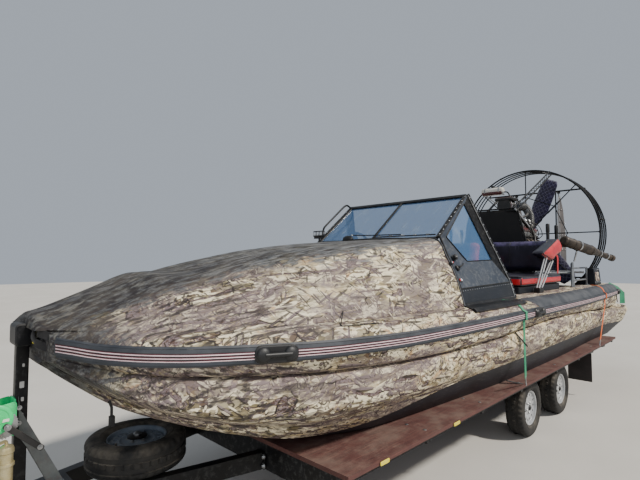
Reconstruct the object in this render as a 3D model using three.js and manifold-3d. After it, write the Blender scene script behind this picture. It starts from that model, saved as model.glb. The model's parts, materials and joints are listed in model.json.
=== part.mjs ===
// Inflatable airboat in camouflage fabric, strapped down on its tandem axle trailer.
// Millimetres. +X points to the bow, +Y to port, +Z up, and the wheels stand on Z = 0.
import * as THREE from 'three';
import { mergeVertices } from 'three/addons/utils/BufferGeometryUtils.js';
import Module from 'manifold-3d';

const wasm = await Module();
wasm.setup();

// Overall places
const SEAT = 0.3;                 // gap left between two pieces that touch
const BOW_X = 3785;               // nose of the hull
const HITCH_X = 4675;             // front of the trailer coupling
const DECK_TOP = 690;
const DECK_THICK = 27;
const TUBE_TOP = 1498;            // flat top of the side tubes abaft the cover
const FLOOR_Z = 930;              // cockpit floor
const aft = (distance) => BOW_X - distance;

// Trailer
const TYRE_RADIUS = 298;
const TYRE_HALF_WIDTH = 92;
const WHEEL_Y = 967.5;
const WHEEL_SIDES = 28;
const AXLES = [{ name: 'front', x: -615 }, { name: 'rear', x: -1625 }];
const RAIL_Y = 470;
const RAIL_BOTTOM = 500;
const RAIL_TOP = 608;
const FRAME_HALF = 1160;
const DECK_HALF = 1200;
const DECK_FRONT = 2545;
const DECK_REAR = -3805;
const HITCH_Y = 55;

// Propeller and its guard
const HUB_Z = 2330;
const GUARD_RADIUS = 1100;
const HOOP_TUBE = 12;
const HOOP_SIDES = 5;
const HOOP_REACH = HOOP_TUBE * Math.sin(2 * Math.PI / HOOP_SIDES);   // half width of a hoop's tube along X
const HOOPS_AFT = [7300, 7420, 7540, 7660];
const PROPELLER_AFT = 7460;
const BLADE_RADIUS = 1010;
const BLADE_ANGLES = [21.7, 141.7, 261.7];   // from straight up, towards port
const RUDDER_Y = 360;
const RUDDER_AFT = 7850;

// Solids from points and faces
function oriented(geometry) {
  const p = geometry.attributes.position;
  const index = Array.from(geometry.index.array);
  const corner = (i) => new THREE.Vector3().fromBufferAttribute(p, i);
  let volume = 0;
  for (let i = 0; i < index.length; i += 3) {
    volume += corner(index[i]).dot(corner(index[i + 1]).cross(corner(index[i + 2])));
  }
  if (volume < 0) {
    for (let i = 0; i < index.length; i += 3) [index[i], index[i + 1]] = [index[i + 1], index[i]];
  }
  geometry.setIndex(index);
  return geometry;
}

function welded(geometry) {
  const plain = new THREE.BufferGeometry();
  plain.setAttribute('position', geometry.attributes.position.clone());
  const count = geometry.attributes.position.count;
  plain.setIndex(geometry.index ? Array.from(geometry.index.array) : [...Array(count).keys()]);
  const merged = mergeVertices(plain, 1e-3);
  const kept = [];
  const index = merged.index.array;
  for (let i = 0; i < index.length; i += 3) {
    const [a, b, c] = [index[i], index[i + 1], index[i + 2]];
    if (a !== b && b !== c && a !== c) kept.push(a, b, c);
  }
  merged.setIndex(kept);
  return oriented(merged);
}

function toSolid(geometry) {
  const g = welded(geometry);
  return new wasm.Manifold(new wasm.Mesh({
    numProp: 3,
    vertProperties: new Float32Array(g.attributes.position.array),
    triVerts: new Uint32Array(g.index.array),
  }));
}

function fromSolid(solid) {
  const mesh = solid.getMesh();
  const geometry = new THREE.BufferGeometry();
  geometry.setAttribute('position', new THREE.Float32BufferAttribute(mesh.vertProperties, 3));
  geometry.setIndex(Array.from(mesh.triVerts));
  return geometry;
}

const join = (parts) => fromSolid(parts.map(toSolid).reduce((a, b) => a.add(b)));
const cut = (body, tools) => fromSolid(tools.map(toSolid).reduce((a, b) => a.subtract(b), toSolid(body)));

function closedSurface(points, faces) {
  const geometry = new THREE.BufferGeometry();
  geometry.setAttribute('position', new THREE.Float32BufferAttribute(points.flat(), 3));
  geometry.setIndex(faces.flat());
  return welded(geometry);
}

function ringNormal(ring) {
  const normal = new THREE.Vector3();
  ring.forEach((a, i) => {
    const b = ring[(i + 1) % ring.length];
    normal.add(new THREE.Vector3(
      (a[1] - b[1]) * (a[2] + b[2]),
      (a[2] - b[2]) * (a[0] + b[0]),
      (a[0] - b[0]) * (a[1] + b[1]),
    ));
  });
  return normal;
}

// Triangles that fill a ring with holes, wound the same way round as the ring
function fillRing(ring, holes = []) {
  const normal = ringNormal(ring);
  const size = normal.toArray().map(Math.abs);
  const drop = size.indexOf(Math.max(...size));
  const [u, v] = [0, 1, 2].filter((axis) => axis !== drop);
  const flat = (points) => points.map((p) => new THREE.Vector2(p[u], p[v]));
  const faces = THREE.ShapeUtils.triangulateShape(flat(ring), holes.map(flat));
  const all = [ring, ...holes].flat();
  const total = new THREE.Vector3();
  for (const [a, b, c] of faces) total.add(ringNormal([all[a], all[b], all[c]]));
  return total.dot(normal) < 0 ? faces.map(([a, b, c]) => [a, c, b]) : faces;
}

// A body through a row of rings with the same number of points
function loft(rings) {
  const count = rings[0].length;
  const faces = [];
  for (let i = 0; i + 1 < rings.length; i++) {
    for (let j = 0; j < count; j++) {
      const [a, b] = [i * count + j, i * count + (j + 1) % count];
      faces.push([a, b, b + count], [a, b + count, a + count]);
    }
  }
  const last = (rings.length - 1) * count;
  for (const [a, b, c] of fillRing(rings[0])) faces.push([a, c, b]);
  for (const [a, b, c] of fillRing(rings.at(-1))) faces.push([last + a, last + b, last + c]);
  return closedSurface(rings.flat(), faces);
}

// A sheet of any outline in space, thickened along one direction
function slab(ring, offset, holes = []) {
  const normal = ringNormal(ring);
  const inner = holes.map((hole) => (ringNormal(hole).dot(normal) > 0 ? [...hole].reverse() : hole));
  const front = [ring, ...inner].flat();
  const back = front.map((p) => p.map((value, axis) => value + offset[axis]));
  const n = front.length;
  const faces = [];
  for (const [a, b, c] of fillRing(ring, inner)) faces.push([a, c, b], [a + n, b + n, c + n]);
  let start = 0;
  for (const loop of [ring, ...inner]) {
    loop.forEach((_, j) => {
      const [a, b] = [start + j, start + (j + 1) % loop.length];
      faces.push([a, b, b + n], [a, b + n, a + n]);
    });
    start += loop.length;
  }
  return closedSurface([...front, ...back], faces);
}

// A round bar through a list of points, mitred at the bends
function pipe(points, radius, sides = 8) {
  const path = points.map((p) => new THREE.Vector3(...p));
  const steps = path.slice(1).map((p, i) => p.clone().sub(path[i]).normalize());
  const start = steps[0];
  const side = Math.abs(start.z) < 0.9 ? new THREE.Vector3(0, 0, 1) : new THREE.Vector3(1, 0, 0);
  let across = side.cross(start).normalize();
  const rings = path.map((p, i) => {
    const before = steps[Math.max(i - 1, 0)];
    const after = steps[Math.min(i, steps.length - 1)];
    const along = before.clone().add(after).normalize();
    across = across.clone().addScaledVector(along, -across.dot(along)).normalize();
    const up = along.clone().cross(across);
    return [...Array(sides).keys()].map((k) => {
      const angle = (k + 0.5) * 2 * Math.PI / sides;
      return p.clone().addScaledVector(across, radius * Math.cos(angle))
        .addScaledVector(up, radius * Math.sin(angle)).toArray();
    });
  });
  return loft(rings);
}

// Distance from a faceted bar's axis to its flats
const flatOf = (radius, sides) => radius * Math.cos(Math.PI / sides);

function box(x, y, z) {
  const geometry = new THREE.BoxGeometry(x[1] - x[0], y[1] - y[0], z[1] - z[0]);
  return geometry.translate((x[0] + x[1]) / 2, (y[0] + y[1]) / 2, (z[0] + z[1]) / 2);
}

function lathe(profile, segments) {
  const points = profile.map(([radius, along]) => new THREE.Vector2(radius, along));
  return welded(new THREE.LatheGeometry(points, segments));
}

// A round piece along X, Y or Z between two places on that axis
function drum(axis, centre, radius, span, sides = 24, endRadius = radius) {
  const geometry = new THREE.CylinderGeometry(endRadius, radius, span[1] - span[0], sides);
  geometry.translate(0, (span[0] + span[1]) / 2, 0);
  if (axis === 'x') geometry.rotateZ(-Math.PI / 2);
  if (axis === 'z') geometry.rotateX(Math.PI / 2);
  const [a, b] = centre;
  if (axis === 'x') return geometry.translate(0, a, b);
  if (axis === 'y') return geometry.translate(a, 0, b);
  return geometry.translate(a, b, 0);
}

const mirrored = (geometry) => welded(geometry.clone().scale(1, -1, 1));

// An outline moved inwards by one distance, in its own two axes
function inset(outline, distance) {
  const area = outline.reduce((sum, [x, y], i) => {
    const [u, v] = outline[(i + 1) % outline.length];
    return sum + x * v - u * y;
  }, 0);
  const turn = Math.sign(area);
  const edge = (i) => {
    const [a, b] = [outline[i], outline[(i + 1) % outline.length]];
    const length = Math.hypot(b[0] - a[0], b[1] - a[1]);
    const normal = [-(b[1] - a[1]) / length * turn, (b[0] - a[0]) / length * turn];
    return { normal, offset: normal[0] * a[0] + normal[1] * a[1] + distance };
  };
  return outline.map((_, i) => {
    const [p, q] = [edge((i + outline.length - 1) % outline.length), edge(i)];
    const scale = p.normal[0] * q.normal[1] - p.normal[1] * q.normal[0];
    return [
      (p.offset * q.normal[1] - q.offset * p.normal[1]) / scale,
      (q.offset * p.normal[0] - p.offset * q.normal[0]) / scale,
    ];
  });
}

// Nodes and their paints
const craft = new THREE.Group();
const paint = (color, roughness, metalness = 0) => ({ color, roughness, metalness });
const CAMO = paint(0x8c7f66, 0.85);
const GREY_RUBBER = paint(0x4a4d52, 0.7);
const RAIL_RUBBER = paint(0x3a3638, 0.6);
const BLACK_PAINT = paint(0x16171a, 0.5, 0.2);
const GREY_PANEL = paint(0x4b5059, 0.5, 0.3);
const CLEAR = paint(0x7fa8cc, 0.1);
const BLACK_PLASTIC = paint(0x1a1b1d, 0.5);
const UPHOLSTERY = paint(0x25232b, 0.7);
const ENGINE = paint(0x5b5b5c, 0.45, 0.6);
const STEEL = paint(0x9a9a98, 0.4, 0.8);
const QUILT = paint(0x2a2440, 0.9);
const SILVER = paint(0xb8bcc0, 0.35, 0.7);
const RUBBER = paint(0x17171a, 0.9);
const PLYWOOD = paint(0x5b3a34, 0.7);
const GREEN = paint(0x1f8f4e, 0.4, 0.2);
const WHITE = paint(0xcfcfca, 0.4);

function node(name, geometry, look) {
  const mesh = new THREE.Mesh(geometry, new THREE.MeshStandardMaterial(look));
  mesh.name = name;
  craft.add(mesh);
  return mesh;
}

function pair(name, geometry, look) {
  node(`${name}_port`, geometry, look);
  node(`${name}_starboard`, mirrored(geometry), look);
}

// Hull sections. Half widths and heights at each distance aft of the nose: beam at the rub rail, the rail's
// height, the tube's flat top, the seam over the bottom armour, the keel, and the tube's inner wall.
const HULL = [
  // aft, beam, rail, top, seam, seamHalf, keel, flatHalf, inner
  [0, 330, 1470, 1525, 1392, 180, 1368, 120, 0.15],
  [60, 420, 1468, 1525, 1352, 235, 1325, 170, 0.15],
  [150, 560, 1462, 1525, 1297, 310, 1265, 240, 0.15],
  [300, 745, 1450, 1522, 1195, 415, 1155, 330, 0.15],
  [490, 897, 1435, 1518, 1085, 535, 1035, 440, 0.15],
  [860, 1035, 1412, 1512, 955, 715, 880, 600, 250],
  [1290, 1120, 1395, 1506, 882, 880, 765, 730, 520],
  [1960, 1200, 1378, 1500, 895, 1030, 698, 860, 720],
  [2900, 1240, 1368, TUBE_TOP, 910, 1098, 690.3, 945, 780],
  [3900, 1255, 1365, TUBE_TOP, 910, 1125, 690.3, 1015, 780],
  [5500, 1250, 1365, TUBE_TOP, 910, 1125, 690.3, 1035, 780],
  [7030, 1200, 1365, TUBE_TOP, 910, 1085, 690.3, 1000, 780],
  [7900, 1150, 1365, TUBE_TOP, 910, 1035, 690.3, 950, 780],
  [8250, 1115, 1365, TUBE_TOP - 6, 910, 985, 720, 885, 785],
  [8400, 1075, 1365, TUBE_TOP - 22, 990, 945, 800, 815, 800],
  [8460, 1020, 1365, TUBE_TOP - 45, 1060, 925, 900, 760, 820],
].map(([d, beam, rail, top, seam, seamHalf, keel, flatHalf, inner]) => (
  { d, beam, rail, top, seam, seamHalf, keel, flatHalf, inner }));
const RAIL_HALF = 38;
const COVER_END = 2975;           // rear edge of the fore cover at the windscreen
const COVER_LEAN = 165;           // how much further forward that edge is at the tube

function hullAt(d) {
  const i = Math.min(Math.max(HULL.findIndex((row) => row.d >= d), 1), HULL.length - 1);
  const [a, b] = [HULL[i - 1], HULL[i]];
  const k = (d - a.d) / (b.d - a.d);
  return Object.fromEntries(Object.keys(a).map((key) => [key, a[key] + (b[key] - a[key]) * k]));
}
const topHalf = (h) => h.beam - 140 * Math.min(1, h.beam / 900);

function sideTube() {
  const rings = HULL.map((h) => {
    const low = h.rail - RAIL_HALF - h.seam;
    const crease = h.seam + 0.74 * low;
    const k = low / 417;
    const high = h.top - h.rail - RAIL_HALF;
    const outline = [
      [h.inner, h.seam + SEAT], [h.seamHalf, h.seam + SEAT],
      [h.beam - 72 * k, h.seam + 0.2 * low], [h.beam - 48 * k, h.seam + 0.42 * low],
      [h.beam - 58 * k, h.seam + 0.62 * low], [h.beam - 92 * k, crease],
      [h.beam - 30 * k, crease + 0.12 * low], [h.beam, h.rail - RAIL_HALF],
      [h.beam, h.rail + RAIL_HALF], [h.beam - 30, h.rail + RAIL_HALF + 0.5 * high],
      [h.beam - 70, h.rail + RAIL_HALF + 0.82 * high],
      [topHalf(h), h.top], [h.inner, h.top],
    ];
    return outline.map(([y, z]) => [aft(h.d), y, z]);
  });
  return loft(rings);
}

function hullBottom() {
  return loft(HULL.map((h) => [
    [-h.flatHalf, h.keel], [h.flatHalf, h.keel], [h.seamHalf, h.seam], [-h.seamHalf, h.seam],
  ].map(([y, z]) => [aft(h.d), y, z])));
}

// Moulded grab cleats stand out of the rub rail: distance aft of the nose, and half length
const CLEATS = [{ d: 860, half: 125 }, { d: 4040, half: 130 }, { d: 8130, half: 100 }];
const CLEAT_OUT = 52;
const CLEAT_HALF_HEIGHT = 50;
const RAIL_OUT = 22;

function rubRail() {
  const cleatSteps = [-1, -0.85, 0.85, 1];
  const plain = { out: RAIL_OUT, half: RAIL_HALF };
  const size = (full) => (full ? { out: CLEAT_OUT, half: CLEAT_HALF_HEIGHT } : plain);
  const onCleat = (d) => CLEATS.some((cleat) => Math.abs(cleat.d - d) < 0.85 * cleat.half);
  const rows = HULL.filter((h) => h.d >= 60 && h.d < 8290).map(({ d }) => ({ d, ...size(onCleat(d)) }));
  for (const { d, half } of CLEATS) {
    for (const step of cleatSteps) rows.push({ d: d + step * half, ...size(Math.abs(step) < 1) });
  }
  rows.push({ ...plain, d: 30, half: RAIL_HALF * 0.8 }, { ...plain, d: 8290 });
  rows.sort((a, b) => a.d - b.d);
  return loft(rows.map(({ d, out, half }) => {
    const { beam, rail } = hullAt(d);
    return [
      [beam + SEAT, rail - half], [beam + 0.75 * out, rail - half], [beam + out, rail - 0.6 * half],
      [beam + out, rail + 0.6 * half], [beam + 0.75 * out, rail + half], [beam + SEAT, rail + half],
    ].map(([y, z]) => [aft(d), y, z]);
  }));
}

// Fore cover sections: distance aft, ridge height, and the shoulder's half width and height
const COVER = [
  [0, 1540, 140, 1536], [120, 1560, 190, 1551], [340, 1668, 270, 1640], [650, 1802, 370, 1758],
  [1010, 1917, 460, 1866], [1550, 2018, 570, 1955], [2230, 2068, 665, 2018], [COVER_END, 2092, 745, 2072],
].map(([d, ridge, shoulderHalf, shoulder]) => ({ d, ridge, shoulderHalf, shoulder }));
const COVER_WALL = 40;

function coverRing(row, inward) {
  const h = hullAt(row.d);
  const base = topHalf(h) - inward;
  const bottom = h.top + (inward ? -80 : SEAT);
  const shoulder = [row.shoulderHalf - inward * 0.8, row.shoulder - inward];
  const span = (k, bulge) => [
    base + (shoulder[0] - base) * k + bulge, bottom + (shoulder[1] - bottom) * k,
  ];
  const grow = Math.min(1, (row.ridge - h.top) / 560);
  const half = [[base, bottom], span(0.36, 34 * grow), span(0.72, 34 * grow), shoulder,
    [shoulder[0] * 0.55, row.ridge - inward - 8 * grow]];
  const lean = row.d === COVER_END && !inward ? COVER_LEAN : 0;
  const place = ([y, z]) => [aft(row.d) + lean * (shoulder[1] - Math.min(z, shoulder[1]))
    / (shoulder[1] - bottom), y, z];
  const left = half.map(([y, z]) => [-y, z]).reverse();
  return [...half.map(place), place([0, row.ridge - inward]), ...left.map(place)];
}

function coverAt(d) {
  const i = Math.max(COVER.findIndex((row) => row.d >= Math.min(d, COVER_END)), 1);
  const [a, b] = [COVER[i - 1], COVER[i]];
  const k = Math.min(1, (d - a.d) / (b.d - a.d));
  const mix = (key) => a[key] + (b[key] - a[key]) * k;
  return { d, ridge: mix('ridge'), shoulderHalf: mix('shoulderHalf'), shoulder: mix('shoulder') };
}

function foreCover() {
  const stops = [...HULL, ...COVER].map((row) => row.d).filter((d) => d <= COVER_END);
  const places = [...new Set(stops)].sort((a, b) => a - b);
  const hollow = [1850, 2230, 2900, COVER_END + 200];
  return cut(
    loft(places.map((d) => coverRing(coverAt(d), 0))),
    [loft(hollow.map((d) => coverRing(coverAt(d), COVER_WALL)))],
  );
}

// Floor panel with the transom board that closes the cockpit aft
const cockpitFloor = () => join([
  box([aft(8100), aft(2000)], [-700, 700], [910 + SEAT, FLOOR_Z]),
  box([aft(8120), aft(8090)], [-779, 779], [910 + SEAT, 1440]),
]);

// Windscreen: one raked plane of two panes between the base bar and the top bar
const SCREEN_BAR = 16;
const SCREEN_FLAT = flatOf(SCREEN_BAR, 8);
const SCREEN_BASE = { d: COVER_END + SCREEN_FLAT + SEAT, half: 750, z: 2082 };
const SCREEN_TOP = { d: 3560, half: 742, z: 2527 };
const screenPoint = (side, up) => [
  aft(SCREEN_BASE.d + (SCREEN_TOP.d - SCREEN_BASE.d) * up),
  side * (SCREEN_BASE.half + (SCREEN_TOP.half - SCREEN_BASE.half) * up),
  SCREEN_BASE.z + (SCREEN_TOP.z - SCREEN_BASE.z) * up,
];

function windscreenFrame() {
  const corners = [screenPoint(1, 0), screenPoint(-1, 0), screenPoint(-1, 1), screenPoint(1, 1)];
  const bars = corners.map((corner, i) => pipe([corner, corners[(i + 1) % 4]], SCREEN_BAR));
  const knuckles = corners.map((place) => (
    new THREE.SphereGeometry(SCREEN_BAR + 1, 8, 4).translate(...place)));
  const divider = pipe([screenPoint(0, 0), screenPoint(0, 1)], SCREEN_BAR * 0.8);
  const grab = pipe([
    screenPoint(-1, 0.06), [aft(3050), -752, 2245], [aft(3075), -752, 2275], [aft(3420), -748, 2545],
    [aft(3470), -746, 2560], screenPoint(-1, 0.97),
  ], 11);
  return join([...bars, ...knuckles, divider, grab]);
}

function screenPane(side) {
  const across = (side_, up) => [side_ * 745, up];
  const length = Math.hypot(SCREEN_TOP.d - SCREEN_BASE.d, SCREEN_TOP.z - SCREEN_BASE.z);
  const corners = [across(0, 0), across(side, 0), across(side, length), across(0, length)];
  const outline = inset(corners, SCREEN_BAR - 0.4);
  const rise = (SCREEN_TOP.z - SCREEN_BASE.z) / length;
  const run = (SCREEN_TOP.d - SCREEN_BASE.d) / length;
  const place = ([y, u]) => [
    aft(SCREEN_BASE.d + run * u) - 3 * rise, y * (1 - 0.011 * u / length), SCREEN_BASE.z + rise * u - 3 * run,
  ];
  return slab(outline.map(place), [6 * rise, 0, 6 * run]);
}

// Side wing of the windscreen: outer corners as distance aft, half width, height
const WING = {
  apex: [3566, 774, 2545],
  screen: [2993, 783, 2090],
  foldFront: [2856, 1050, 1640],
  frontFoot: [2815, 1092, 1502],
  rearFoot: [3985, 1062, 1502],
  foldRear: [3980, 1018, 1660],
};
const WING_THICK = 14;
const WINDOW_RIM = 46;
const wingCorner = (name) => [aft(WING[name][0]), WING[name][1], WING[name][2]];

function wingWindow(rim) {
  const corners = ['apex', 'screen', 'foldRear'].map(wingCorner);
  const normal = ringNormal(corners);
  const [p] = corners;
  return inset(corners.map(([x, , z]) => [x, z]), rim).map(([x, z]) => [
    x, p[1] - (normal.x * (x - p[0]) + normal.z * (z - p[2])) / normal.y, z,
  ]);
}

function wingPanel() {
  const inward = [0, -WING_THICK, 0];
  const upper = slab(['apex', 'screen', 'foldRear'].map(wingCorner), inward, [wingWindow(WINDOW_RIM)]);
  const middle = slab(['screen', 'foldFront', 'foldRear'].map(wingCorner), inward);
  const lower = slab(['foldFront', 'frontFoot', 'rearFoot', 'foldRear'].map(wingCorner), inward);
  return join([upper, middle, lower]);
}

const wingPane = () => slab(
  wingWindow(WINDOW_RIM + 0.4).map(([x, y, z]) => [x, y - 4, z]), [0, -6, 0]);

// Work light on its bracket, ahead of the windscreen's starboard corner
function workLight(cover) {
  const [d, y] = [2905, -680];
  const head = box([aft(d + 28), aft(d - 28)], [y - 75, y + 75], [2148, 2212]);
  const bracket = pipe([[aft(d + 5), y, 2040], [aft(d + 5), y, 2150]], 12);
  return cut(join([head, bracket]), [cover.clone().translate(0, 0, SEAT)]);
}

// Helm
const WHEEL_TILT = 22 * Math.PI / 180;
const COLUMN = { d: 3160, y: -400, z: 1990 };
const columnPoint = (along) => [
  aft(COLUMN.d) - along * Math.cos(WHEEL_TILT), COLUMN.y, COLUMN.z + along * Math.sin(WHEEL_TILT),
];

function dashboard() {
  const front = SCREEN_BASE.d + SCREEN_FLAT + SEAT;
  const section = [[front, 1850], [front, 2076], [front + 60, 2076], [3170, 2010], [3150, 1850]];
  const hood = slab(section.map(([d, z]) => [aft(d), -690, z]), [0, 1380, 0]);
  const console_ = box([aft(3140), aft(front + 20)], [-640, -160], [FLOOR_Z + SEAT, 1900]);
  const boss = pipe([columnPoint(-60), columnPoint(20)], 34, 16);
  return join([hood, console_, boss]);
}

function steeringWheel() {
  const ring = new THREE.TorusGeometry(165, 13, 6, 24);
  ring.rotateY(-Math.PI / 2 + WHEEL_TILT);
  const centre = columnPoint(120);
  ring.translate(...centre);
  const shaft = pipe([columnPoint(20.4), columnPoint(130)], 16, 12);
  const hub = pipe([columnPoint(105), columnPoint(132)], 42, 16);
  const spokes = [90, 210, 330].map((degrees) => {
    const angle = degrees * Math.PI / 180;
    const [side, up] = [Math.cos(angle) * 160, Math.sin(angle) * 160];
    const reach = [up * Math.sin(WHEEL_TILT), side, up * Math.cos(WHEEL_TILT)];
    return pipe([centre, centre.map((value, axis) => value + reach[axis])], 10, 6);
  });
  return join([ring, shaft, hub, ...spokes]);
}

// Seats
function frontSeat() {
  const [left, right] = [170, 670];
  const pedestal = box([aft(3970), aft(3640)], [left + 90, right - 90], [FLOOR_Z + SEAT, 1430]);
  const cushion = slab([[3560, 1425], [3560, 1540], [3600, 1565], [4060, 1545], [4060, 1425]]
    .map(([d, z]) => [aft(d), left, z]), [0, right - left, 0]);
  const backOutline = [[left, 1450], [left, 1950], [left + 90, 2110], [right - 90, 2110], [right, 1950],
    [right, 1450]];
  const back = slab(backOutline.map(([y, z]) => [aft(4040 + (z - 1450) * 0.12), y, z]), [-115, 0, 0]);
  return join([pedestal, cushion, back]);
}

const BENCH = { front: 4500, rear: 5950, half: 950, base: 1580, top: 1718 };

function benchLocker() {
  const low = box([aft(BENCH.rear), aft(BENCH.front + 60)], [-778, 778], [FLOOR_Z + SEAT, BENCH.base]);
  const ledge = box([aft(BENCH.rear), aft(BENCH.front + 20)], [-900, 900], [TUBE_TOP + SEAT, BENCH.base]);
  return join([low, ledge]);
}

function benchCushion() {
  const { front, rear, half, base, top } = BENCH;
  const section = [[-half, base + SEAT], [half, base + SEAT], [half + 8, base + 70], [half, top - 22],
    [half - 25, top], [-half + 25, top], [-half, top - 22], [-half - 8, base + 70]];
  return loft([front, rear].map((d) => section.map(([y, z]) => [aft(d), y, z])));
}

function benchBack() {
  const section = [[5395, BENCH.top + SEAT], [5430, 2120], [5465, 2162], [5545, 2165], [5590, 2125],
    [5570, BENCH.top + SEAT]];
  const middle = slab(section.map(([d, z]) => [aft(d), -910, z]), [0, 1820, 0]);
  const cap = section.map(([d, z]) => [d + (d < 5500 ? 25 : -25), Math.min(z, 2140)]);
  const ends = [-1, 1].map((side) => slab(cap.map(([d, z]) => [aft(d), side * 900, z]), [0, side * 55, 0]));
  return join([middle, ...ends]);
}

// Engine bay
const BED_Z = 1700;
const BED_BAR = 18;
const BED_SPAN = [6080, 7180];
const BED_HALF = 300;
const SIDE_RAIL_Y = 900;
const SIDE_RAIL = { front: 6550, rear: 7270, z: 1850, middle: 1640 };
const STUB_POSTS = [6030, 6400];
const STUB_Y = 740;
const STUB_BAR = 22;
const RAIL_STRUT = 13;

function engineFrame() {
  const [front, rear] = BED_SPAN;
  const bars = [];
  for (const side of [-1, 1]) {
    const y = side * BED_HALF;
    bars.push(pipe([[aft(front - 20), y, BED_Z], [aft(rear + 20), y, BED_Z]], BED_BAR, 6));
    bars.push(box([aft(7700), aft(6020)], [side * 430 - 35, side * 430 + 35], [FLOOR_Z + SEAT, FLOOR_Z + 60]));
    for (const d of [front, rear]) {
      bars.push(pipe([[aft(d), y, BED_Z], [aft(d), side * 430, FLOOR_Z + 30]], BED_BAR, 6));
    }
  }
  const reach = { [STUB_POSTS[1]]: STUB_Y - flatOf(STUB_BAR, 6), [rear]: SIDE_RAIL_Y - flatOf(RAIL_STRUT, 6) };
  for (const [d, end] of Object.entries(reach)) {
    bars.push(pipe([[aft(+d), -end + SEAT, BED_Z], [aft(+d), end - SEAT, BED_Z]], BED_BAR, 6));
  }
  return join(bars);
}

// Port hand rail beside the engine, and the two stub posts that it carries
function sideRail() {
  const { front, rear, z, middle } = SIDE_RAIL;
  const y = SIDE_RAIL_Y;
  const posts = [front, rear].map((d) => pipe([[aft(d), y, TUBE_TOP + SEAT], [aft(d), y, z]], 17, 6));
  const rails = [z, middle].map((height) => (
    pipe([[aft(front - 17), y, height], [aft(rear + 17), y, height]], 15, 6)));
  const stubs = STUB_POSTS.map((d) => (
    pipe([[aft(d), STUB_Y, BED_Z - 15], [aft(d), STUB_Y, 2400]], STUB_BAR, 6)));
  const strut = pipe([[aft(BED_SPAN[1]), y, middle], [aft(BED_SPAN[1]), y, z]], RAIL_STRUT, 6);
  const link = pipe([...STUB_POSTS.map((d) => [aft(d), STUB_Y, BED_Z]), [aft(front), y, BED_Z]], 13, 6);
  return join([...posts, ...rails, ...stubs, strut, link]);
}

function engine() {
  const base = BED_Z + BED_BAR + SEAT;
  const block = box([aft(6950), aft(6180)], [-250, 250], [base, 2180]);
  const banks = [-1, 1].map((side) => slab(
    [[side * 60, 2150], [side * 270, 2120], [side * 330, 2330], [side * 130, 2420]]
      .map(([y, z]) => [aft(6200), y, z]), [-700, 0, 0]));
  const plenum = box([aft(6800), aft(6260)], [-140, 140], [2170, 2600]);
  const filter = drum('x', [20, 2800], 165, [aft(6640), aft(6240)], 20);
  const neck = box([aft(6600), aft(6320)], [-70, 110], [2590, 2700]);
  const cap = box([aft(6560), aft(6300)], [-120, 150], [2900, 2990]);
  const alternator = drum('x', [-330, 2000], 85, [aft(6500), aft(6230)], 16);
  const starter = drum('x', [300, 1900], 65, [aft(6900), aft(6500)], 12);
  const pulleys = [[0, 1880, 110], [-330, 2000, 55], [0, 2300, 90], [190, 2120, 55]].map(([y, z, radius]) => (
    drum('x', [y, z], radius, [aft(6290), aft(6120)], 20)));
  return join([block, ...banks, plenum, filter, neck, cap, alternator, starter, ...pulleys]);
}

function engineScreen() {
  const foot = FLOOR_Z + SEAT;
  const outline = [[-600, foot], [600, foot], [600, 1600], [350, 2650], [-350, 2650], [-600, 1600]];
  return slab(outline.map(([y, z]) => [aft(5952), y, z]), [-28, 0, 0]);
}

const SHAFT_RADIUS = 24;
const BEARING = { radius: 90, front: 6950 + SEAT, rear: 7322 };

function driveHousing() {
  const plate = box([aft(7060), aft(BEARING.front)], [-135, 135], [1830, 2420]);
  const barrel = drum('x', [0, HUB_Z], BEARING.radius, [aft(BEARING.rear), aft(BEARING.front)], 24);
  const bore = drum('x', [0, HUB_Z], SHAFT_RADIUS + 0.6, [aft(BEARING.rear + 5), aft(7050)], 32);
  return cut(join([plate, barrel]), [bore]);
}

const EXHAUST = {
  engine: [aft(6700), 335, 2110],
  inlet: [aft(6620), 920, 2105],
  front: [aft(6330), 850, 2168],
  bodyEnd: [aft(6950), 1065, 2025],
  tail: [aft(7420), 1222, 1918],
};

function exhaust() {
  const between = (a, b, k) => a.map((value, axis) => value + (b[axis] - value) * k);
  const { engine: root, inlet, front, bodyEnd, tail } = EXHAUST;
  const stages = [
    pipe([root, inlet], 36, 10),
    pipe([front, bodyEnd], 88, 16),
    pipe([between(front, bodyEnd, 0.99), between(bodyEnd, tail, 0.25)], 66, 14),
    pipe([bodyEnd, tail], 50, 14),
    pipe([between(front, bodyEnd, 0.5), [aft(6640), SIDE_RAIL_Y, SIDE_RAIL.z + 15 + SEAT]], 12),
  ];
  return join(stages);
}

function headerTank() {
  const [d, z] = [6960, 3080];
  const shell = drum('y', [aft(d), z], 66, [-620, -240], 20);
  const stem = pipe([[aft(6560 + SEAT), -100, 2960], [aft(6620), -100, 2960], [aft(d), -260, z]], 11, 6);
  return join([shell, stem]);
}

// Propeller guard: a barrel of hoops, its spoked front and the rudder frame behind it
const onGuard = (d, degrees, radius) => {
  const angle = degrees * Math.PI / 180;
  return [aft(d), radius * Math.cos(angle), HUB_Z + radius * Math.sin(angle)];
};
const hoop = (d) => new THREE.TorusGeometry(GUARD_RADIUS, HOOP_TUBE, HOOP_SIDES, 36)
  .rotateY(Math.PI / 2).translate(aft(d), 0, HUB_Z);
const EIGHTHS = [...Array(8).keys()].map((k) => k * 45);
const TIE_DEGREES = [-79, -34, 11, 56];

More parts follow.
